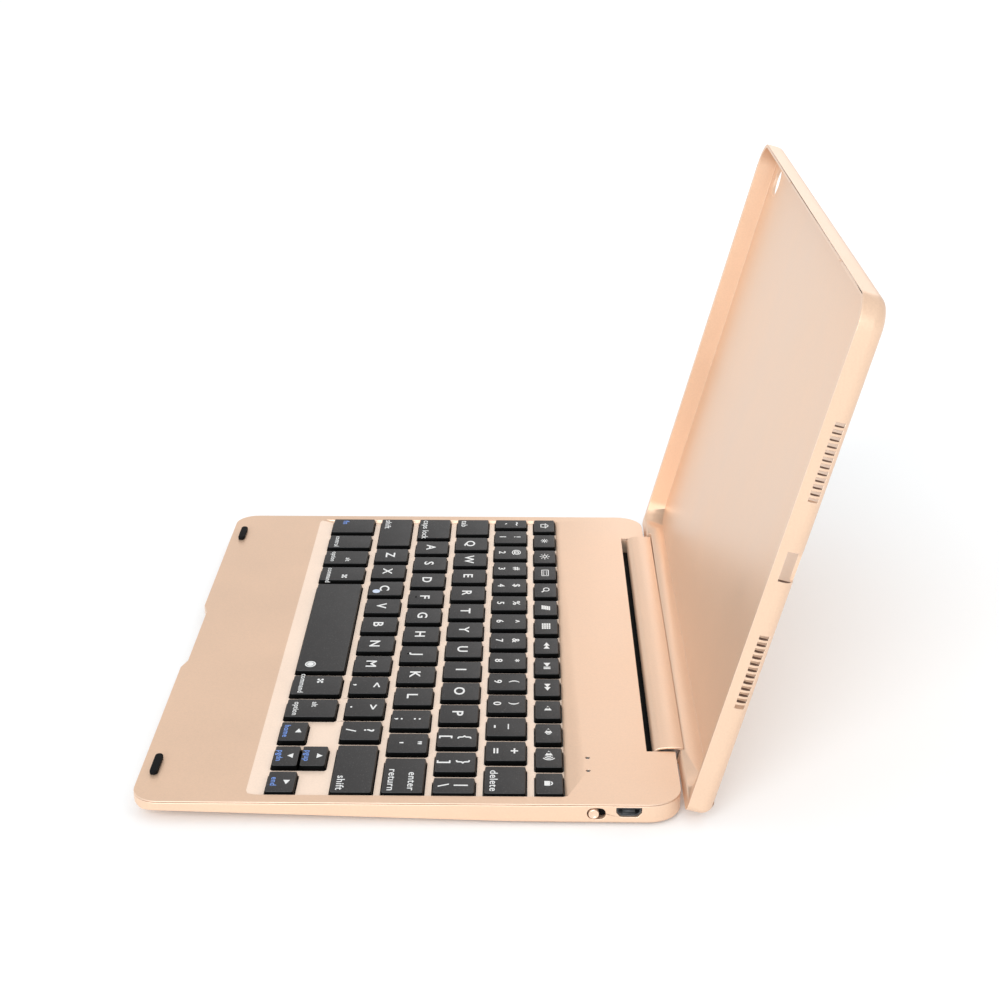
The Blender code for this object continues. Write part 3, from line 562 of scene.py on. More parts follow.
def metal(name, colour, roughness, stretch, metallic=1.0):
    work = Finish(name, Metallic=metallic)
    # Painted highlight: edges lightened towards a paler copy of the colour
    paler = solid([part * 0.6 + 0.4 for part in colour])
    edge_highlight = work.use("edge_highlight", Colour=solid(colour), Rubbed_Colour=paler, Reach=0.25 * MM, Amount=0.6,
                   Break_Size=3.0 * MM)
    return work.grained(edge_highlight["Colour"], tone=0.22, rough=roughness, uneven=0.22, grain=0.3 * MM,
                        cloud=18.0 * MM, depth=0.006 * MM, stretch=stretch)


def brushed_steel(name):
    return metal(name, bpy.context.scene.case_trim.steel, 0.32, (0.06, 1.0, 1.0))


def gloss_gold(name):
    return metal(name, bpy.context.scene.case_trim.knob, 0.2, (1.0, 1.0, 1.0), 0.6)


def battery_wrap(name):
    return metal(name, (0.62, 0.63, 0.65), 0.38, (1.0, 0.15, 1.0), 0.6)


# Near-black moulding, used as painted shadow in the hinge recess and behind the switch knob
def shade_black_moulding(name):
    work = Finish(name, Specular_IOR_Level=0.15)
    return work.grained((0.006, 0.006, 0.006, 1.0), tone=0.5, rough=0.6, uneven=0.2, grain=0.5 * MM,
                        cloud=8.0 * MM, depth=0.01 * MM)


def port_tongue(name):
    work = Finish(name, Specular_IOR_Level=0.4)
    return work.grained((0.06, 0.06, 0.062, 1.0), tone=0.25, rough=0.45, uneven=0.2, grain=0.4 * MM,
                        cloud=4.0 * MM, depth=0.01 * MM)


# Painted shade: near-black metal on the port's shell, standing in for the shade inside the port
def port_painted_shade_lining(name):
    return metal(name, (0.015, 0.015, 0.016), 0.5, (1.0, 1.0, 1.0), 0.3)


def smoked_guide(name):
    work = Finish(name, Specular_IOR_Level=0.5)
    return work.grained((0.03, 0.028, 0.026, 1.0), tone=0.3, rough=0.25, uneven=0.15,
                        grain=0.4 * MM, cloud=3.0 * MM, depth=0.005 * MM)


def contact_film(name):
    work = Finish(name, Specular_IOR_Level=0.5)
    speckle = work.use("speckle", Colour=(0.50, 0.53, 0.50, 1.0),
                       Speck_Colour=(0.30, 0.33, 0.33, 1.0), Speck_Size=5.0 * MM, Cover=0.5)
    return work.grained(speckle["Colour"], tone=0.12, rough=0.4, uneven=0.2, grain=0.8 * MM,
                        cloud=20.0 * MM, depth=0.01 * MM)


def circuit_green(name):
    work = Finish(name, Specular_IOR_Level=0.5)
    tracks = work.bench.add("ShaderNodeTexBrick", offset=0.5)
    work.bench.link(work.bench.place(), tracks.inputs["Vector"])
    for label, value in (("Color1", (0.012, 0.11, 0.055, 1.0)),
                         ("Color2", (0.015, 0.14, 0.07, 1.0)),
                         ("Mortar", (0.05, 0.26, 0.13, 1.0)), ("Scale", 450.0),
                         ("Mortar Size", 0.06)):
        tracks.inputs[label].default_value = value
    return work.grained(tracks.outputs["Color"], tone=0.25, rough=0.38, uneven=0.2, grain=0.4 * MM,
                        cloud=6.0 * MM, depth=0.01 * MM)


def studio_floor(name):
    work = Finish(name, Specular_IOR_Level=0.1)
    grain = work.use("grain", Colour=solid(bpy.context.scene.case_stage.floor), Tone_Spread=0.01,
                     Roughness=0.9, Roughness_Spread=0.05, Grain_Size=3.0 * MM,
                     Cloud_Size=400.0 * MM, Depth=0.001 * MM)
    return work.to(Base_Color=grain["Colour"], Roughness=grain["Roughness"])


# ---------------------------------------------------------------- key layout

def key_places():
    """Every key as (row, index, centre x, centre y, width, depth, label), with y from the axis."""
    places = []
    for row, y, depth, units, labels in ROWS:
        x = -7.0 * PITCH
        for index, (unit, label) in enumerate(zip(units, labels.split())):
            width = unit * PITCH
            places.append((row, index, x + width / 2, y, width - SPACE_BETWEEN, depth, label))
            x += width
    for index, (_, column, depth, rear, label) in enumerate(ARROWS):
        edge = SPACE_DEPTH / 2 - depth * MM / 2
        y = SPACE_ROW + (edge if rear else -edge)
        places.append(("arrow", index, column * PITCH, y, PITCH - SPACE_BETWEEN, depth * MM,
                       f"^{label}"))
    return places


def key_blocks():
    """CAD node names with the keys that each one holds, and the body that they ride on."""
    rows = {}
    for place in key_places():
        rows.setdefault(place[0], []).append(place)
    blocks = {}
    for row in ("q", "a", "z"):
        for place in rows[row]:
            if len(place[6]) == 1 and place[6].isalpha():
                blocks[f"key_{place[6]}"] = [place]
    blocks["key_tab"] = rows["q"][:1]
    blocks["key_caps_lock"] = rows["a"][:1]
    blocks["key_return"] = rows["a"][-1:]
    blocks["key_left_shift"] = rows["z"][:1]
    blocks["key_right_shift"] = rows["z"][-1:]
    blocks["key_space_bar"] = rows["space"][4:5]
    for (name, *_), place in zip(ARROWS, rows["arrow"]):
        blocks[f"key_arrow_{name}"] = [place]
    blocks["function_key_row"] = rows["function"]
    blocks["number_key_row"] = rows["number"]
    blocks["left_modifier_keys"] = rows["space"][:4]
    blocks["right_modifier_keys"] = rows["space"][5:]
    blocks["sign_key_block"] = rows["q"][11:] + rows["a"][10:12] + rows["z"][8:11]
    return {node: (places, node + ("_cap" if len(places) == 1 else "_caps"))
            for node, places in blocks.items()}


# ---------------------------------------------------------------- pieces

def rounded_copy(node, name, edge, body, above=-1.0, merge_flats=False, steps=2):
    """A copy of a CAD skin with its sharp edges above a height rounded."""
    bm = copied_skin(node)
    if merge_flats:
        bmesh.ops.dissolve_limit(bm, angle_limit=math.radians(0.8), verts=bm.verts, edges=bm.edges)
    weight = bm.edges.layers.float.new("bevel_weight_edge")
    for line in bm.edges:
        sharp = len(line.link_faces) == 2 and line.calc_face_angle(0.0) > math.radians(40.0)
        high = min(vert.co.z for vert in line.verts) > above
        line[weight] = 1.0 if sharp and high and line.calc_length() > edge * 1.5 else 0.0
    finishes = [material(satin_rose_gold)]
    # Faces given painted light and shade: a lighter gold on the well floor, a near-black gold on
    # the walls of the lid's slots and port opening
    special = {"deck_top_cover": (is_well_floor, well_painted_light_gold),
               "lid_shell": (is_slot_wall, slot_painted_shade_gold)}
    if node in special:
        test, maker = special[node]
        finishes.append(material(maker))
        bm.normal_update()
        for face in bm.faces:
            face.material_index = 1 if test(face) else 0
    piece = finished(name, bm, body, finishes, [node], 30.0)
    rounding = piece.modifiers.new("edge_rounding", "BEVEL")
    rounding.width = edge
    rounding.segments = steps
    rounding.limit_method = "WEIGHT"
    rounding.use_clamp_overlap = False
    shading = piece.modifiers.new("steady_shading", "WEIGHTED_NORMAL")
    shading.mode = "FACE_AREA"
    shading.weight = 100
    shading.keep_sharp = True
    return piece


def is_well_floor(face):
    """True for the floor between the keys and the gentle slope in front of them, which get the
    painted lighter gold.
    """
    height = face.calc_center_median().z
    return face.normal.z > 0.95 and WELL_FLOOR - 0.2 * MM < height < WELL_FLOOR + 0.9 * MM


def is_slot_wall(face):
    """True for the walls inside the speaker slots and the port opening in the lid's right rim,
    which get painted shade.
    """
    middle = face.calc_center_median()
    up_the_lid = Vector((0.0, math.sin(LID_TILT), math.cos(LID_TILT)))
    along = (middle - AXIS).dot(up_the_lid)
    across = abs(face.normal.dot(up_the_lid)) > 0.3
    in_slots = any(start < along < start + SLOT_RUN for start in SLOT_STARTS)
    in_port = abs(along - LID_PORT) < 6.0 * MM
    return across and middle.x > RIM_INSIDE and (in_slots or in_port)


def make_shell():
    edge = bpy.context.scene.case_shell.edge
    rounded_copy("deck_top_cover", "deck_skin", edge * 0.6, "base", above=DECK_ROUNDED_ABOVE)
    rounded_copy("base_bottom_cover", "tub_skin", edge * 0.8, "base")
    rounded_copy("lid_shell", "lid_skin", edge, "lid", above=LID_ROUNDED_ABOVE)
    rounded_copy("hinge_barrel_cover", "barrel_skin", edge, "lid", merge_flats=True)


def make_recess_shade_sheet():
    """Painted shadow: a black strip that lines the recess behind the deck, under the barrel, where
    shade falls.
    """
    low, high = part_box("hinge_barrel_cover")
    bm = bmesh.new()
    left, right = low.x - 0.5 * MM, high.x + 0.5 * MM
    front, floor = AXIS.y - 6.65 * MM, 1.25 * MM
    add_block(bm, (left, front, floor), (right, front + 0.12 * MM, 6.9 * MM))
    add_block(bm, (left, front, floor), (right, AXIS.y + 0.8 * MM, 1.4 * MM))
    return finished("recess_shade_sheet", bm, "base", [material(shade_black_moulding)])


def add_cap(bm, x, y, width, depth, corner, rim):
    """One key cap: skirt in the deck, tapered sides, rounded rim and a coated top."""
    skirt = Vector((width / 2 + SKIRT, depth / 2 + SKIRT))
    centre = Vector((x, AXIS.y + y))
    low = centre - skirt
    high = centre + skirt
    faces = add_block(bm, (*low, FLANGE_HIGH - 0.05 * MM), (*high, KEY_TOP), corner, 3)
    edges = {edge for face in faces for edge in face.edges}
    verts = {vert for face in faces for vert in face.verts}
    cut = bmesh.ops.bisect_plane(bm, geom=list(faces) + list(edges) + list(verts),
                                 plane_co=(0.0, 0.0, WELL_FLOOR), plane_no=(0.0, 0.0, 1.0))
    faces = [item for item in cut["geom"] if isinstance(item, bmesh.types.BMFace)]
    top = topmost(faces)
    shift = Matrix.Translation((*centre, 0.0))
    taper = Matrix.Diagonal((width / 2 / skirt.x, depth / 2 / skirt.y, 1.0, 1.0))
    bmesh.ops.transform(bm, verts=top.verts[:], matrix=shift @ taper @ shift.inverted())
    for face in faces:
        face.material_index = 1
    top.material_index = 0
    for face in round_rim(bm, top, rim, 3):
        face.material_index = 0


def make_key_caps():
    settings = bpy.context.scene.case_keys
    materials = [material(key_top_coating), material(key_side_plastic)]
    for node, (places, body) in key_blocks().items():
        bm = bmesh.new()
        for _, _, x, y, width, depth, _ in places:
            add_cap(bm, x, y, width, depth, settings.corner, settings.rim)
            if len(places) == 1:
                reach = width / 2 + SKIRT + FLANGE_OUT
                rim = depth / 2 + SKIRT
                for face in add_block(bm, (x - reach, AXIS.y + y - rim, FLANGE_LOW),
                                      (x + reach, AXIS.y + y + rim, FLANGE_HIGH)):
                    face.material_index = 1
        if len(places) > 1:
            add_webs(bm, places)
        finished(f"{node}_moulded", bm, body, materials, [node], 40.0)


def add_webs(bm, places):
    """Strips that join the keys of one block under the deck."""
    rows = {}
    for place in places:
        rows.setdefault(place[3], []).append(place)
    bars = [(group[0][2], y - WEB_HALF, group[-1][2], y + WEB_HALF) for y, group in rows.items()]
    if len(rows) > 1:
        x = places[0][2]
        ys = sorted(rows)
        bars.append((x - WEB_HALF, ys[0], x + WEB_HALF, ys[-1]))
        bars.append((rows[ys[0]][0][2], ys[0] - WEB_HALF, x, ys[0] + WEB_HALF))
    for x0, y0, x1, y1 in bars:
        for face in add_block(bm, (x0, AXIS.y + y0, FLANGE_LOW), (x1, AXIS.y + y1, WEB_HIGH)):
            face.material_index = 1


# ---------------------------------------------------------------- legends

WORD_MESHES = {}


def word_mesh(words):
    """Words as a closed mesh, one unit high for a capital letter, with its baseline at zero."""
    if words in WORD_MESHES:
        return WORD_MESHES[words]
    curve = bpy.data.curves.new("legend_words", "FONT")
    curve.body = words
    curve.resolution_u = 3
    curve.offset = 0.016 if len(words) == 1 else 0.008
    curve.space_character = 1.08
    curve.extrude = 0.05
    writing = in_scene("legend_words", curve)
    bpy.context.view_layer.update()
    evaluated = writing.evaluated_get(bpy.context.evaluated_depsgraph_get())
    mesh = bpy.data.meshes.new_from_object(evaluated)
    bpy.data.objects.remove(writing)
    bpy.data.curves.remove(curve)
    WORD_MESHES[words] = mesh
    return mesh


def extent(mesh, axis):
    values = [vert.co[axis] for vert in mesh.vertices]
    return min(values), max(values)


def add_ink(bm, drawing, ink_index):
    """Move a finished drawing into a key's legend, in one ink."""
    for face in drawing.faces:
        face.material_index = ink_index
    mesh = bpy.data.meshes.new("drawing")
    drawing.to_mesh(mesh)
    drawing.free()
    bm.from_mesh(mesh)
    bpy.data.meshes.remove(mesh)


def add_words(bm, words, height, stretch, thickness, x, y, side=0, ink_index=0):
    """Print words on a key: side -1 starts them at x, 1 ends them there and 0 centres them."""
    capital = extent(word_mesh("H"), 1)[1]
    mesh = word_mesh(words)
    low, high = extent(mesh, 0)
    start = {-1: low, 0: (low + high) / 2, 1: high}[side]
    scale = height / capital
    place = (Matrix.Translation((x, AXIS.y + y - height / 2, KEY_TOP + thickness * 0.3))
             @ Matrix.Diagonal((scale * stretch, scale, thickness / 0.1, 1.0))
             @ Matrix.Translation((-start, 0.0, 0.0)))
    drawing = bmesh.new()
    drawing.from_mesh(mesh)
    bmesh.ops.remove_doubles(drawing, verts=drawing.verts, dist=0.0001)
    bmesh.ops.transform(drawing, verts=drawing.verts, matrix=place)
    add_ink(bm, drawing, ink_index)


def bar(bm, x0, y0, x1, y1, width):
    """A flat straight stroke."""
    start, end = Vector((x0, y0)), Vector((x1, y1))
    run = end - start
    turn = Matrix.Rotation(math.atan2(run.y, run.x), 4, "Z")
    middle = Matrix.Translation((*(start + end) / 2, 0.0))
    bmesh.ops.create_grid(bm, x_segments=1, y_segments=1, size=0.5,
                          matrix=middle @ turn @ Matrix.Diagonal((run.length, width, 1.0, 1.0)))


def disc(bm, x, y, radius, sides=20, turn=0.0):
    """A flat disc, or a triangle when it has three sides."""
    place = Matrix.Translation((x, y, 0.0)) @ Matrix.Rotation(math.radians(turn - 90.0), 4, "Z")
    bmesh.ops.create_circle(bm, cap_ends=True, segments=sides, radius=radius, matrix=place)


def arc(bm, x, y, radius, width, first, sweep, steps=10):
    """A flat curved stroke."""
    direction = Vector((math.cos(math.radians(first)), math.sin(math.radians(first)), 0.0))
    centre = Vector((x, y, 0.0))
    ends = [bm.verts.new(centre + direction * (radius + side * width / 2)) for side in (-1, 1)]
    edge = bm.edges.new(ends)
    bmesh.ops.spin(bm, geom=ends + [edge], cent=centre, axis=(0.0, 0.0, 1.0),
                   angle=math.radians(sweep), steps=steps, use_merge=abs(sweep) >= 360.0)


def box_outline(bm, x, y, width, height, stroke):
    """A flat rectangular frame."""
    for side in (-1, 1):
        bar(bm, x - width / 2 - stroke / 2, y + side * height / 2, x + width / 2 + stroke / 2,
            y + side * height / 2, stroke)
        bar(bm, x + side * width / 2, y - height / 2, x + side * width / 2, y + height / 2, stroke)


def icon_home(bm):
    box_outline(bm, 0.0, -0.35, 1.7, 1.3, 0.28)
    bar(bm, -1.35, 0.25, 0.0, 1.3, 0.3)
    bar(bm, 0.0, 1.3, 1.35, 0.25, 0.3)


def icon_sun(bm, size):
    arc(bm, 0.0, 0.0, size * 0.36, 0.28, 0.0, 360.0, 20)
    for step in range(8):
        angle = math.radians(45.0 * step)
        way = Vector((math.cos(angle), math.sin(angle)))
        bar(bm, *(way * size * 0.62), *(way * size), 0.24)


def icon_board(bm):
    box_outline(bm, 0.0, 0.0, 3.0, 1.9, 0.25)
    for row in (-0.4, 0.4):
        for column in range(4):
            disc(bm, -0.9 + 0.6 * column, row, 0.17, 8)


def icon_search(bm):
    arc(bm, -0.2, 0.25, 0.8, 0.3, 0.0, 360.0, 24)
    bar(bm, 0.4, -0.35, 1.15, -1.1, 0.42)


def icon_page(bm):
    for step in range(5):
        y = -1.0 + 0.5 * step
        bar(bm, -1.1 + 0.12 * step, y, 0.7 + 0.12 * step, y, 0.42)


def icon_pad(bm):
    for row in range(4):
        for column in range(3):
            bar(bm, -1.3 + 0.9 * column, -0.95 + 0.62 * row, -0.55 + 0.9 * column,
                -0.95 + 0.62 * row, 0.48)


def icon_skip(bm, places, turn):
    for x in places:
        disc(bm, x, 0.0, 0.95, 3, turn)


def icon_play(bm):
    disc(bm, -0.75, 0.0, 1.05, 3)
    for x in (0.55, 1.15):
        bar(bm, x, -0.9, x, 0.9, 0.34)


def icon_speaker(bm, waves):
    left = -0.5 - 0.35 * waves
    bar(bm, left - 0.35, 0.0, left + 0.2, 0.0, 0.75)
    disc(bm, left + 0.3, 0.0, 1.1, 3, 180.0)
    for wave in range(waves):
        arc(bm, left + 0.55, 0.0, 0.75 + 0.55 * wave, 0.26, -48.0, 96.0, 8)


def icon_lock(bm):
    bar(bm, -0.75, -0.5, 0.75, -0.5, 1.35)
    arc(bm, 0.0, 0.2, 0.5, 0.3, 0.0, 180.0, 10)
    bar(bm, -0.5, 0.1, -0.5, 0.3, 0.3)
    bar(bm, 0.5, 0.1, 0.5, 0.3, 0.3)


def icon_globe(bm):
    arc(bm, 0.0, 0.0, 1.75, 0.5, 0.0, 360.0, 32)
    disc(bm, 0.0, 0.0, 1.25, 24)


def icon_four_dots(bm):
    for x, y in ((-0.5, -0.5), (0.5, -0.5), (-0.5, 0.5), (0.5, 0.5)):
        disc(bm, x, y, 0.34, 12)
    disc(bm, 0.0, 0.0, 0.34, 4, 45.0)


ICONS = {
    "home": icon_home,
    "dim": lambda bm: icon_sun(bm, 1.1),
    "bright": lambda bm: icon_sun(bm, 1.5),
    "board": icon_board,
    "search": icon_search,
    "page": icon_page,
    "pad": icon_pad,
    "back": lambda bm: icon_skip(bm, (-0.45, 0.85), 180.0),
    "play": icon_play,
    "next": lambda bm: icon_skip(bm, (-0.85, 0.45), 0.0),
    "mute": lambda bm: icon_speaker(bm, 0),
    "softer": lambda bm: icon_speaker(bm, 1),
    "louder": lambda bm: icon_speaker(bm, 3),
    "lock": icon_lock,
    "globe": icon_globe,
    "four_dots": icon_four_dots,
    "spot": lambda bm: disc(bm, 0.0, 0.0, 1.55, 24),
    "arrow_left": lambda bm: disc(bm, 0.0, 0.0, 1.0, 3, 180.0),
    "arrow_right": lambda bm: disc(bm, 0.0, 0.0, 1.0, 3, 0.0),
    "arrow_up": lambda bm: disc(bm, 0.0, 0.0, 1.0, 3, 90.0),
    "arrow_down": lambda bm: disc(bm, 0.0, 0.0, 1.0, 3, 270.0),
}


def add_icon(bm, name, stretch, thickness, x, y, ink_index=0, size=1.0):
    """Print an icon, drawn in millimetres, as a thin closed layer of ink."""
    drawing = bmesh.new()
    ICONS[name](drawing)
    bmesh.ops.remove_doubles(drawing, verts=drawing.verts, dist=0.0001)
    for face in drawing.faces:
        if face.normal.z < 0.0:
            face.normal_flip()
    scale = Matrix.Diagonal((MM * stretch * size, MM * size, MM, 1.0))
    bmesh.ops.transform(drawing, verts=drawing.verts, matrix=Matrix.Translation(
        (x, AXIS.y + y, KEY_TOP + thickness)) @ scale)
    bmesh.ops.solidify(drawing, geom=drawing.faces[:], thickness=thickness * 1.3)
    add_ink(bm, drawing, ink_index)


def print_label(bm, settings, x, y, width, depth, label):
    """Print one key's legend.  The first character of a label says where its words go."""
    wide, thick = settings.stretch, settings.thickness
    front = y - depth / 2
    kind, words = label[0], label[1:]

    def write(text, height, at_x, share, side=0, ink_index=0, squeeze=1.0):
        add_words(bm, text, height, wide * squeeze, thick, at_x, front + depth * share, side,
                  ink_index)

    if len(label) == 1:
        write(label.upper(), settings.letter, x, 0.47)
    elif len(label) == 2:
        height = settings.sign if kind.isdigit() else settings.sign * 1.25
        write(kind, height, x, 0.245)
        write(words, height, x, 0.72)
    elif kind == "*":
        where = (x, y) if words != "globe" else (x + width * 0.5 - 5.2 * MM, front + depth * 0.27)
        add_icon(bm, words, wide if words != "globe" else 1.2, thick, *where,
                 size=1.4 if words != "globe" else 1.0)
    elif kind in "<>":
        side = -1 if kind == "<" else 1
        edge = x + side * (width / 2 - 1.2 * MM)
        lines = words.replace("_", " ").split("/")
        for line, share in zip(lines, (0.22, 0.72)):
            write(line, settings.word, edge, share, side, squeeze=0.98)
    elif kind in "-+":
        side = -1 if kind == "-" else 1
        edge = x + side * (width / 2 - 1.0 * MM)
        lines = words.split("/")
        write(lines[0], settings.small_word, edge, 0.2, side, squeeze=0.86)
        if len(lines) > 1 and lines[1].startswith("%"):
            add_icon(bm, lines[1][1:], wide, thick, x - side * width * 0.22, front + depth * 0.56,
                     size=1.4)
        elif len(lines) > 1:
            write(lines[1], settings.small_word, x - side * width * 0.2, 0.56, 0, squeeze=0.86)
    elif kind == "~":
        write(words, settings.word, x - width * 0.25, 0.3, 0, 1)
    elif kind == "^":
        name = {"home": "left", "pgdn": "down", "pgup": "up", "end": "right"}[words]
        write(words, settings.small_word, x, 0.24, 0, 1, squeeze=0.88)
        add_icon(bm, f"arrow_{name}", wide, thick, x, front + depth * 0.7, size=1.3)


def make_legends():
    settings = bpy.context.scene.case_legends
    inks = [material(white_ink), material(blue_ink),
            material(pale_ink)]
    for node, (places, body) in key_blocks().items():
        bm = bmesh.new()
        for _, _, x, y, width, depth, label in places:
            print_label(bm, settings, x, y, width, depth, label)
            if label == "c":
                add_icon(bm, "spot", 1.1, settings.thickness, x + width * 0.24, y - depth * 0.27, 2)
        finished(f"{node}_legend", bm, body, inks, smooth=20.0)


def make_homing_dots():
    """Small raised dots on the two home keys."""
    for node, (places, body) in key_blocks().items():
        _, _, x, y, _, depth, label = places[0]
        if label in ("f", "j"):
            bm = bmesh.new()
            place = Matrix.Translation((x, AXIS.y + y - depth * 0.3, KEY_TOP - 0.1 * MM))
            bmesh.ops.create_icosphere(bm, subdivisions=3, radius=0.4 * MM, matrix=place)
            finished(f"{node}_homing_dot", bm, body,
                     [material(key_side_plastic)], smooth=60.0)


def make_pads():
    """Rubber bumpers on the palm rest and feet under the base, with soft rounded edges."""
    rubber = [material(soft_rubber)]
    for node in ("palm_bumper_left", "palm_bumper_right", "rubber_foot_front", "rubber_foot_rear"):
        low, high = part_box(node)
        bm = bmesh.new()
        half = (high.y - low.y) / 2
        faces = add_block(bm, low, high, half * 0.97, 8)
        upper = node.startswith("palm")
        face = topmost(faces) if upper else lowest(faces)
        round_rim(bm, face, min(0.45 * MM, (high.z - low.z) * 0.45), 4)
        bmesh.ops.recalc_face_normals(bm, faces=bm.faces)
        finished(f"{node}_moulded", bm, "base", rubber, [node], 50.0)


def make_switch_knob():
    """Round knob with a rolled edge and a shallow dish."""
    low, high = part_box("power_switch_knob")
    centre = (low + high) / 2
    radius = (high.z - low.z) / 2
    length = high.x - low.x
    bm = bmesh.new()
    bmesh.ops.create_cone(bm, cap_ends=True, segments=40, radius1=radius, radius2=radius,
                          depth=length)
    top = topmost(bm.faces)
    round_rim(bm, top, 0.3 * MM, 4)
    top = topmost(bm.faces)
    bmesh.ops.inset_individual(bm, faces=[top], thickness=0.25 * MM, depth=0.0)
    bmesh.ops.inset_individual(bm, faces=[top], thickness=0.15 * MM, depth=-0.12 * MM)
    bmesh.ops.transform(bm, verts=bm.verts, matrix=Matrix.Translation(centre)
                        @ Matrix.Rotation(math.pi / 2, 4, "Y"))
    bmesh.ops.recalc_face_normals(bm, faces=bm.faces)
    finished("switch_knob_turned", bm, "power_switch", [material(gloss_gold)],
             ["power_switch_knob"], 40.0)


def make_inside():
    """Finish the CAD parts that stay: plate, film, board, battery, light guides and hinges."""
    finishes = (
        (brushed_steel, ("key_support_plate", "hinge_pin_left", "hinge_pin_right",
                         "friction_hinge_left", "friction_hinge_right")),
        (contact_film, ("key_membrane_sheet",)),
        (circuit_green, ("main_circuit_board",)),
        (battery_wrap, ("battery_pack",)),
        (smoked_guide, ("status_light_guides",)),
    )
    for maker, nodes in finishes:
        for node in nodes:
            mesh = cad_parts[node].data
            mesh.materials.clear()
            mesh.materials.append(material(maker))


def make_port():
    """Charging port with a near-black lining as painted shade and a grey tongue, and a black sheet
    of painted shadow in the switch slot.
    """
    low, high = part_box("usb_charging_socket")
    bm = copied_skin("usb_charging_socket")
    middle = (low + high) / 2
    for face in bm.faces:
        spot = face.calc_center_median() - middle
        inside = abs(spot.y) < 2.1 * MM and abs(spot.z) < 1.1 * MM and spot.x > -2.4 * MM
        face.material_index = 1 if inside else 0
    finished("charging_port_lined", bm, "base",
             [material(port_painted_shade_lining), material(port_tongue)],
             ["usb_charging_socket"], 30.0)
    # Painted shadow: a black sheet behind the switch slot, standing in for the shade behind the
    # knob
    low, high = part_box("power_switch_knob")
    centre = (low + high) / 2
    bm = bmesh.new()
    add_block(bm, (WALL_OUTSIDE - 3.4 * MM, centre.y - 3.6 * MM, centre.z - 2.3 * MM),
              (WALL_OUTSIDE - 3.2 * MM, centre.y + 5.4 * MM, centre.z + 1.4 * MM))
    finished("switch_slot_shade_sheet", bm, "base", [material(shade_black_moulding)])


def hang(name, data, place, way):
    """Put a lamp or the camera at a place, facing one way."""
    holder = in_scene(name, data)
    holder.location = place
    holder.rotation_euler = way.to_track_quat("-Z", "Y").to_euler()
    return holder


def make_floor():
    """A wide plain floor, which isn't part of the case."""
    bm = bmesh.new()
    bmesh.ops.create_grid(bm, x_segments=1, y_segments=1, size=40.0)
    mesh = bpy.data.meshes.new("studio_floor")
    bm.to_mesh(mesh)
    bm.free()
    mesh.materials.append(material(studio_floor))
    in_scene("studio_floor", mesh)


def make_daylight(strength):
    """Even light all round, with a white backdrop behind the floor."""
    world = bpy.data.worlds.new("studio")
    world.use_nodes = True
    sky = world.node_tree.nodes["Background"]
    sky.inputs["Color"].default_value = (1.0, 1.0, 1.0, 1.0)
    bench = NodeBench(world.node_tree)
    seen = bench.add("ShaderNodeLightPath").outputs["Is Camera Ray"]
    bench.feed(sky, "Strength", bench.spread(seen, 0.0, 1.0, strength, 1.0))
    bpy.context.scene.world = world


def make_stage():
    """Plain pale floor, even soft light and the camera."""
    settings = bpy.context.scene.case_stage
    make_floor()
    make_daylight(settings.daylight)
    lamp = bpy.data.lights.new("softbox", "AREA")
    lamp.energy = settings.softbox
    lamp.size = 0.7
    hang("softbox", lamp, SOFTBOX_PLACE, SOFTBOX_TARGET - SOFTBOX_PLACE)
    sun = bpy.data.lights.new("high_light", "SUN")
    sun.energy = settings.sun
    sun.color = (0.84, 0.94, 1.0)
    sun.angle = math.radians(50.0)
    hang("high_light", sun, Vector(), Vector((-0.86, 0.22, -0.44)))
    camera = bpy.data.cameras.new("product_camera")
    camera.lens = settings.lens
    camera.sensor_width = 36.0
    bpy.context.scene.camera = hang("product_camera", camera, CAMERA_PLACE,
                                    CAMERA_TARGET - CAMERA_PLACE)
    bpy.context.scene.view_settings.view_transform = "Standard"


# ---------------------------------------------------------------- operators and panel

class CASE_OT_shell(bpy.types.Operator):
    """Build the deck, tub, lid and barrel with rounded edges and a satin gold finish"""
    bl_idname = "case.make_shell"
    bl_label = "Shell"

    def execute(self, context):
        make_shell()
        make_recess_shade_sheet()
        return {"FINISHED"}


class CASE_OT_key_caps(bpy.types.Operator):
    """Mould every key cap, with its skirt, tapered sides and coated top"""
    bl_idname = "case.make_key_caps"
    bl_label = "Key Caps"

    def execute(self, context):
        make_key_caps()
        return {"FINISHED"}


class CASE_OT_legends(bpy.types.Operator):
    """Print the letters, digits, signs, words and icons on the keys"""
    bl_idname = "case.print_legends"
    bl_label = "Legends"

    def execute(self, context):
        make_legends()
        return {"FINISHED"}


class CASE_OT_homing_dots(bpy.types.Operator):
    """Add the raised dots on the two home keys"""
    bl_idname = "case.make_homing_dots"
    bl_label = "Homing Dots"

    def execute(self, context):
        make_homing_dots()
        return {"FINISHED"}


class CASE_OT_pads(bpy.types.Operator):
    """Mould the rubber bumpers and feet"""
    bl_idname = "case.make_pads"
    bl_label = "Rubber Pads"

    def execute(self, context):
        make_pads()
        return {"FINISHED"}


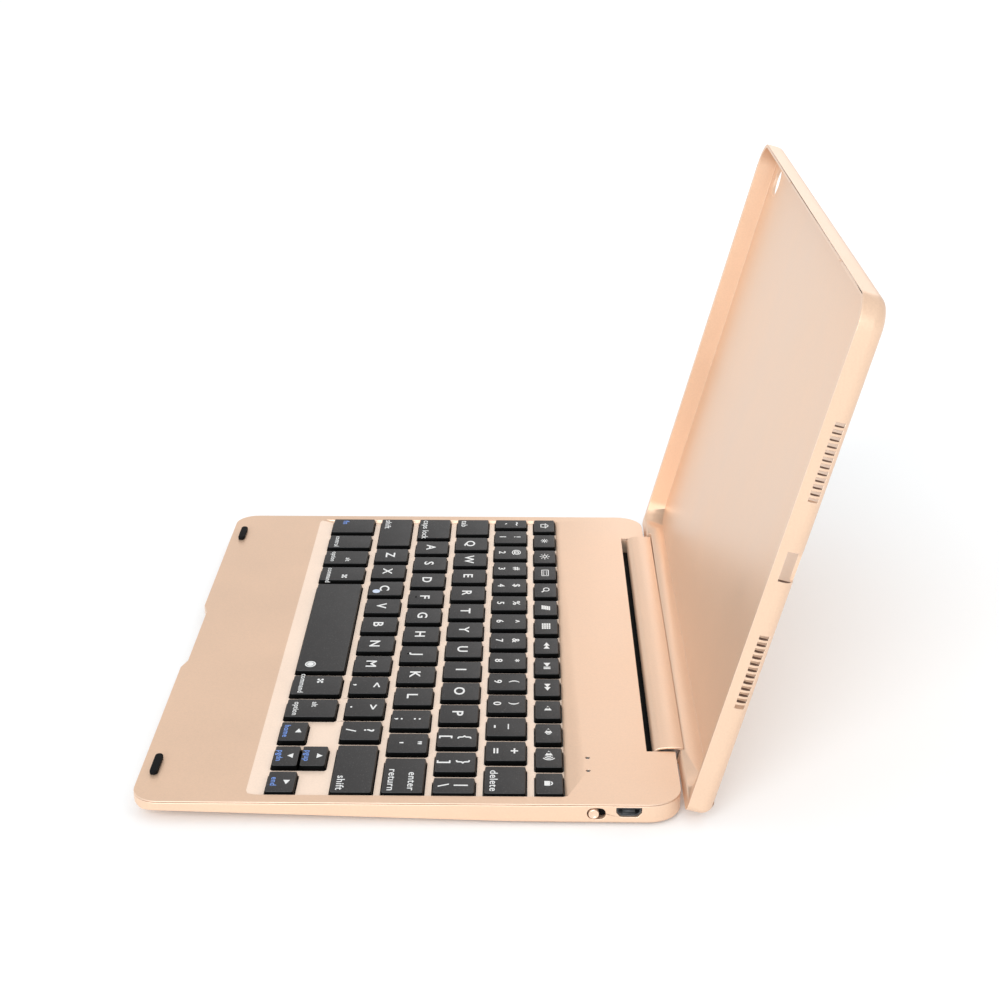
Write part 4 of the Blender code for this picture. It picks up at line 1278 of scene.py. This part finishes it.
class CASE_OT_switch_knob(bpy.types.Operator):
    """Turn the round knob of the power switch"""
    bl_idname = "case.make_switch_knob"
    bl_label = "Switch Knob"

    def execute(self, context):
        make_switch_knob()
        return {"FINISHED"}


class CASE_OT_port(bpy.types.Operator):
    """Line the charging port and the switch slot in near-black, as painted shade"""
    bl_idname = "case.make_port"
    bl_label = "Charging Port"

    def execute(self, context):
        make_port()
        return {"FINISHED"}


class CASE_OT_inside(bpy.types.Operator):
    """Finish the parts inside the base and the hinges"""
    bl_idname = "case.finish_inside"
    bl_label = "Inside Parts"

    def execute(self, context):
        make_inside()
        return {"FINISHED"}


class CASE_OT_stage(bpy.types.Operator):
    """Set up the floor, the soft light and the camera"""
    bl_idname = "case.make_stage"
    bl_label = "Stage"

    def execute(self, context):
        make_stage()
        return {"FINISHED"}


OPERATORS = (CASE_OT_shell, CASE_OT_key_caps, CASE_OT_legends, CASE_OT_homing_dots, CASE_OT_pads,
             CASE_OT_switch_knob, CASE_OT_port, CASE_OT_inside, CASE_OT_stage)


class CASE_PT_panel(bpy.types.Panel):
    bl_idname = "CASE_PT_panel"
    bl_label = "Keyboard Case"
    bl_space_type = "VIEW_3D"
    bl_region_type = "UI"
    bl_category = "Keyboard Case"

    def draw(self, context):
        layout = self.layout
        for operator in OPERATORS:
            layout.operator(operator.bl_idname)
        for name, group in SETTINGS.items():
            box = layout.box()
            for label in group.__annotations__:
                box.prop(getattr(context.scene, name), label)


def register():
    for name, group in SETTINGS.items():
        bpy.utils.register_class(group)
        setattr(bpy.types.Scene, name, bpy.props.PointerProperty(type=group))
    for made in (*OPERATORS, CASE_PT_panel):
        bpy.utils.register_class(made)


def unregister():
    for made in reversed((*OPERATORS, CASE_PT_panel)):
        bpy.utils.unregister_class(made)
    for name, group in SETTINGS.items():
        delattr(bpy.types.Scene, name)
        bpy.utils.unregister_class(group)


def main():
    """Build the whole case."""
    register()
    for operator in OPERATORS:
        family, name = operator.bl_idname.split(".")
        getattr(getattr(bpy.ops, family), name)()


if __name__ == "__main__":
    main()
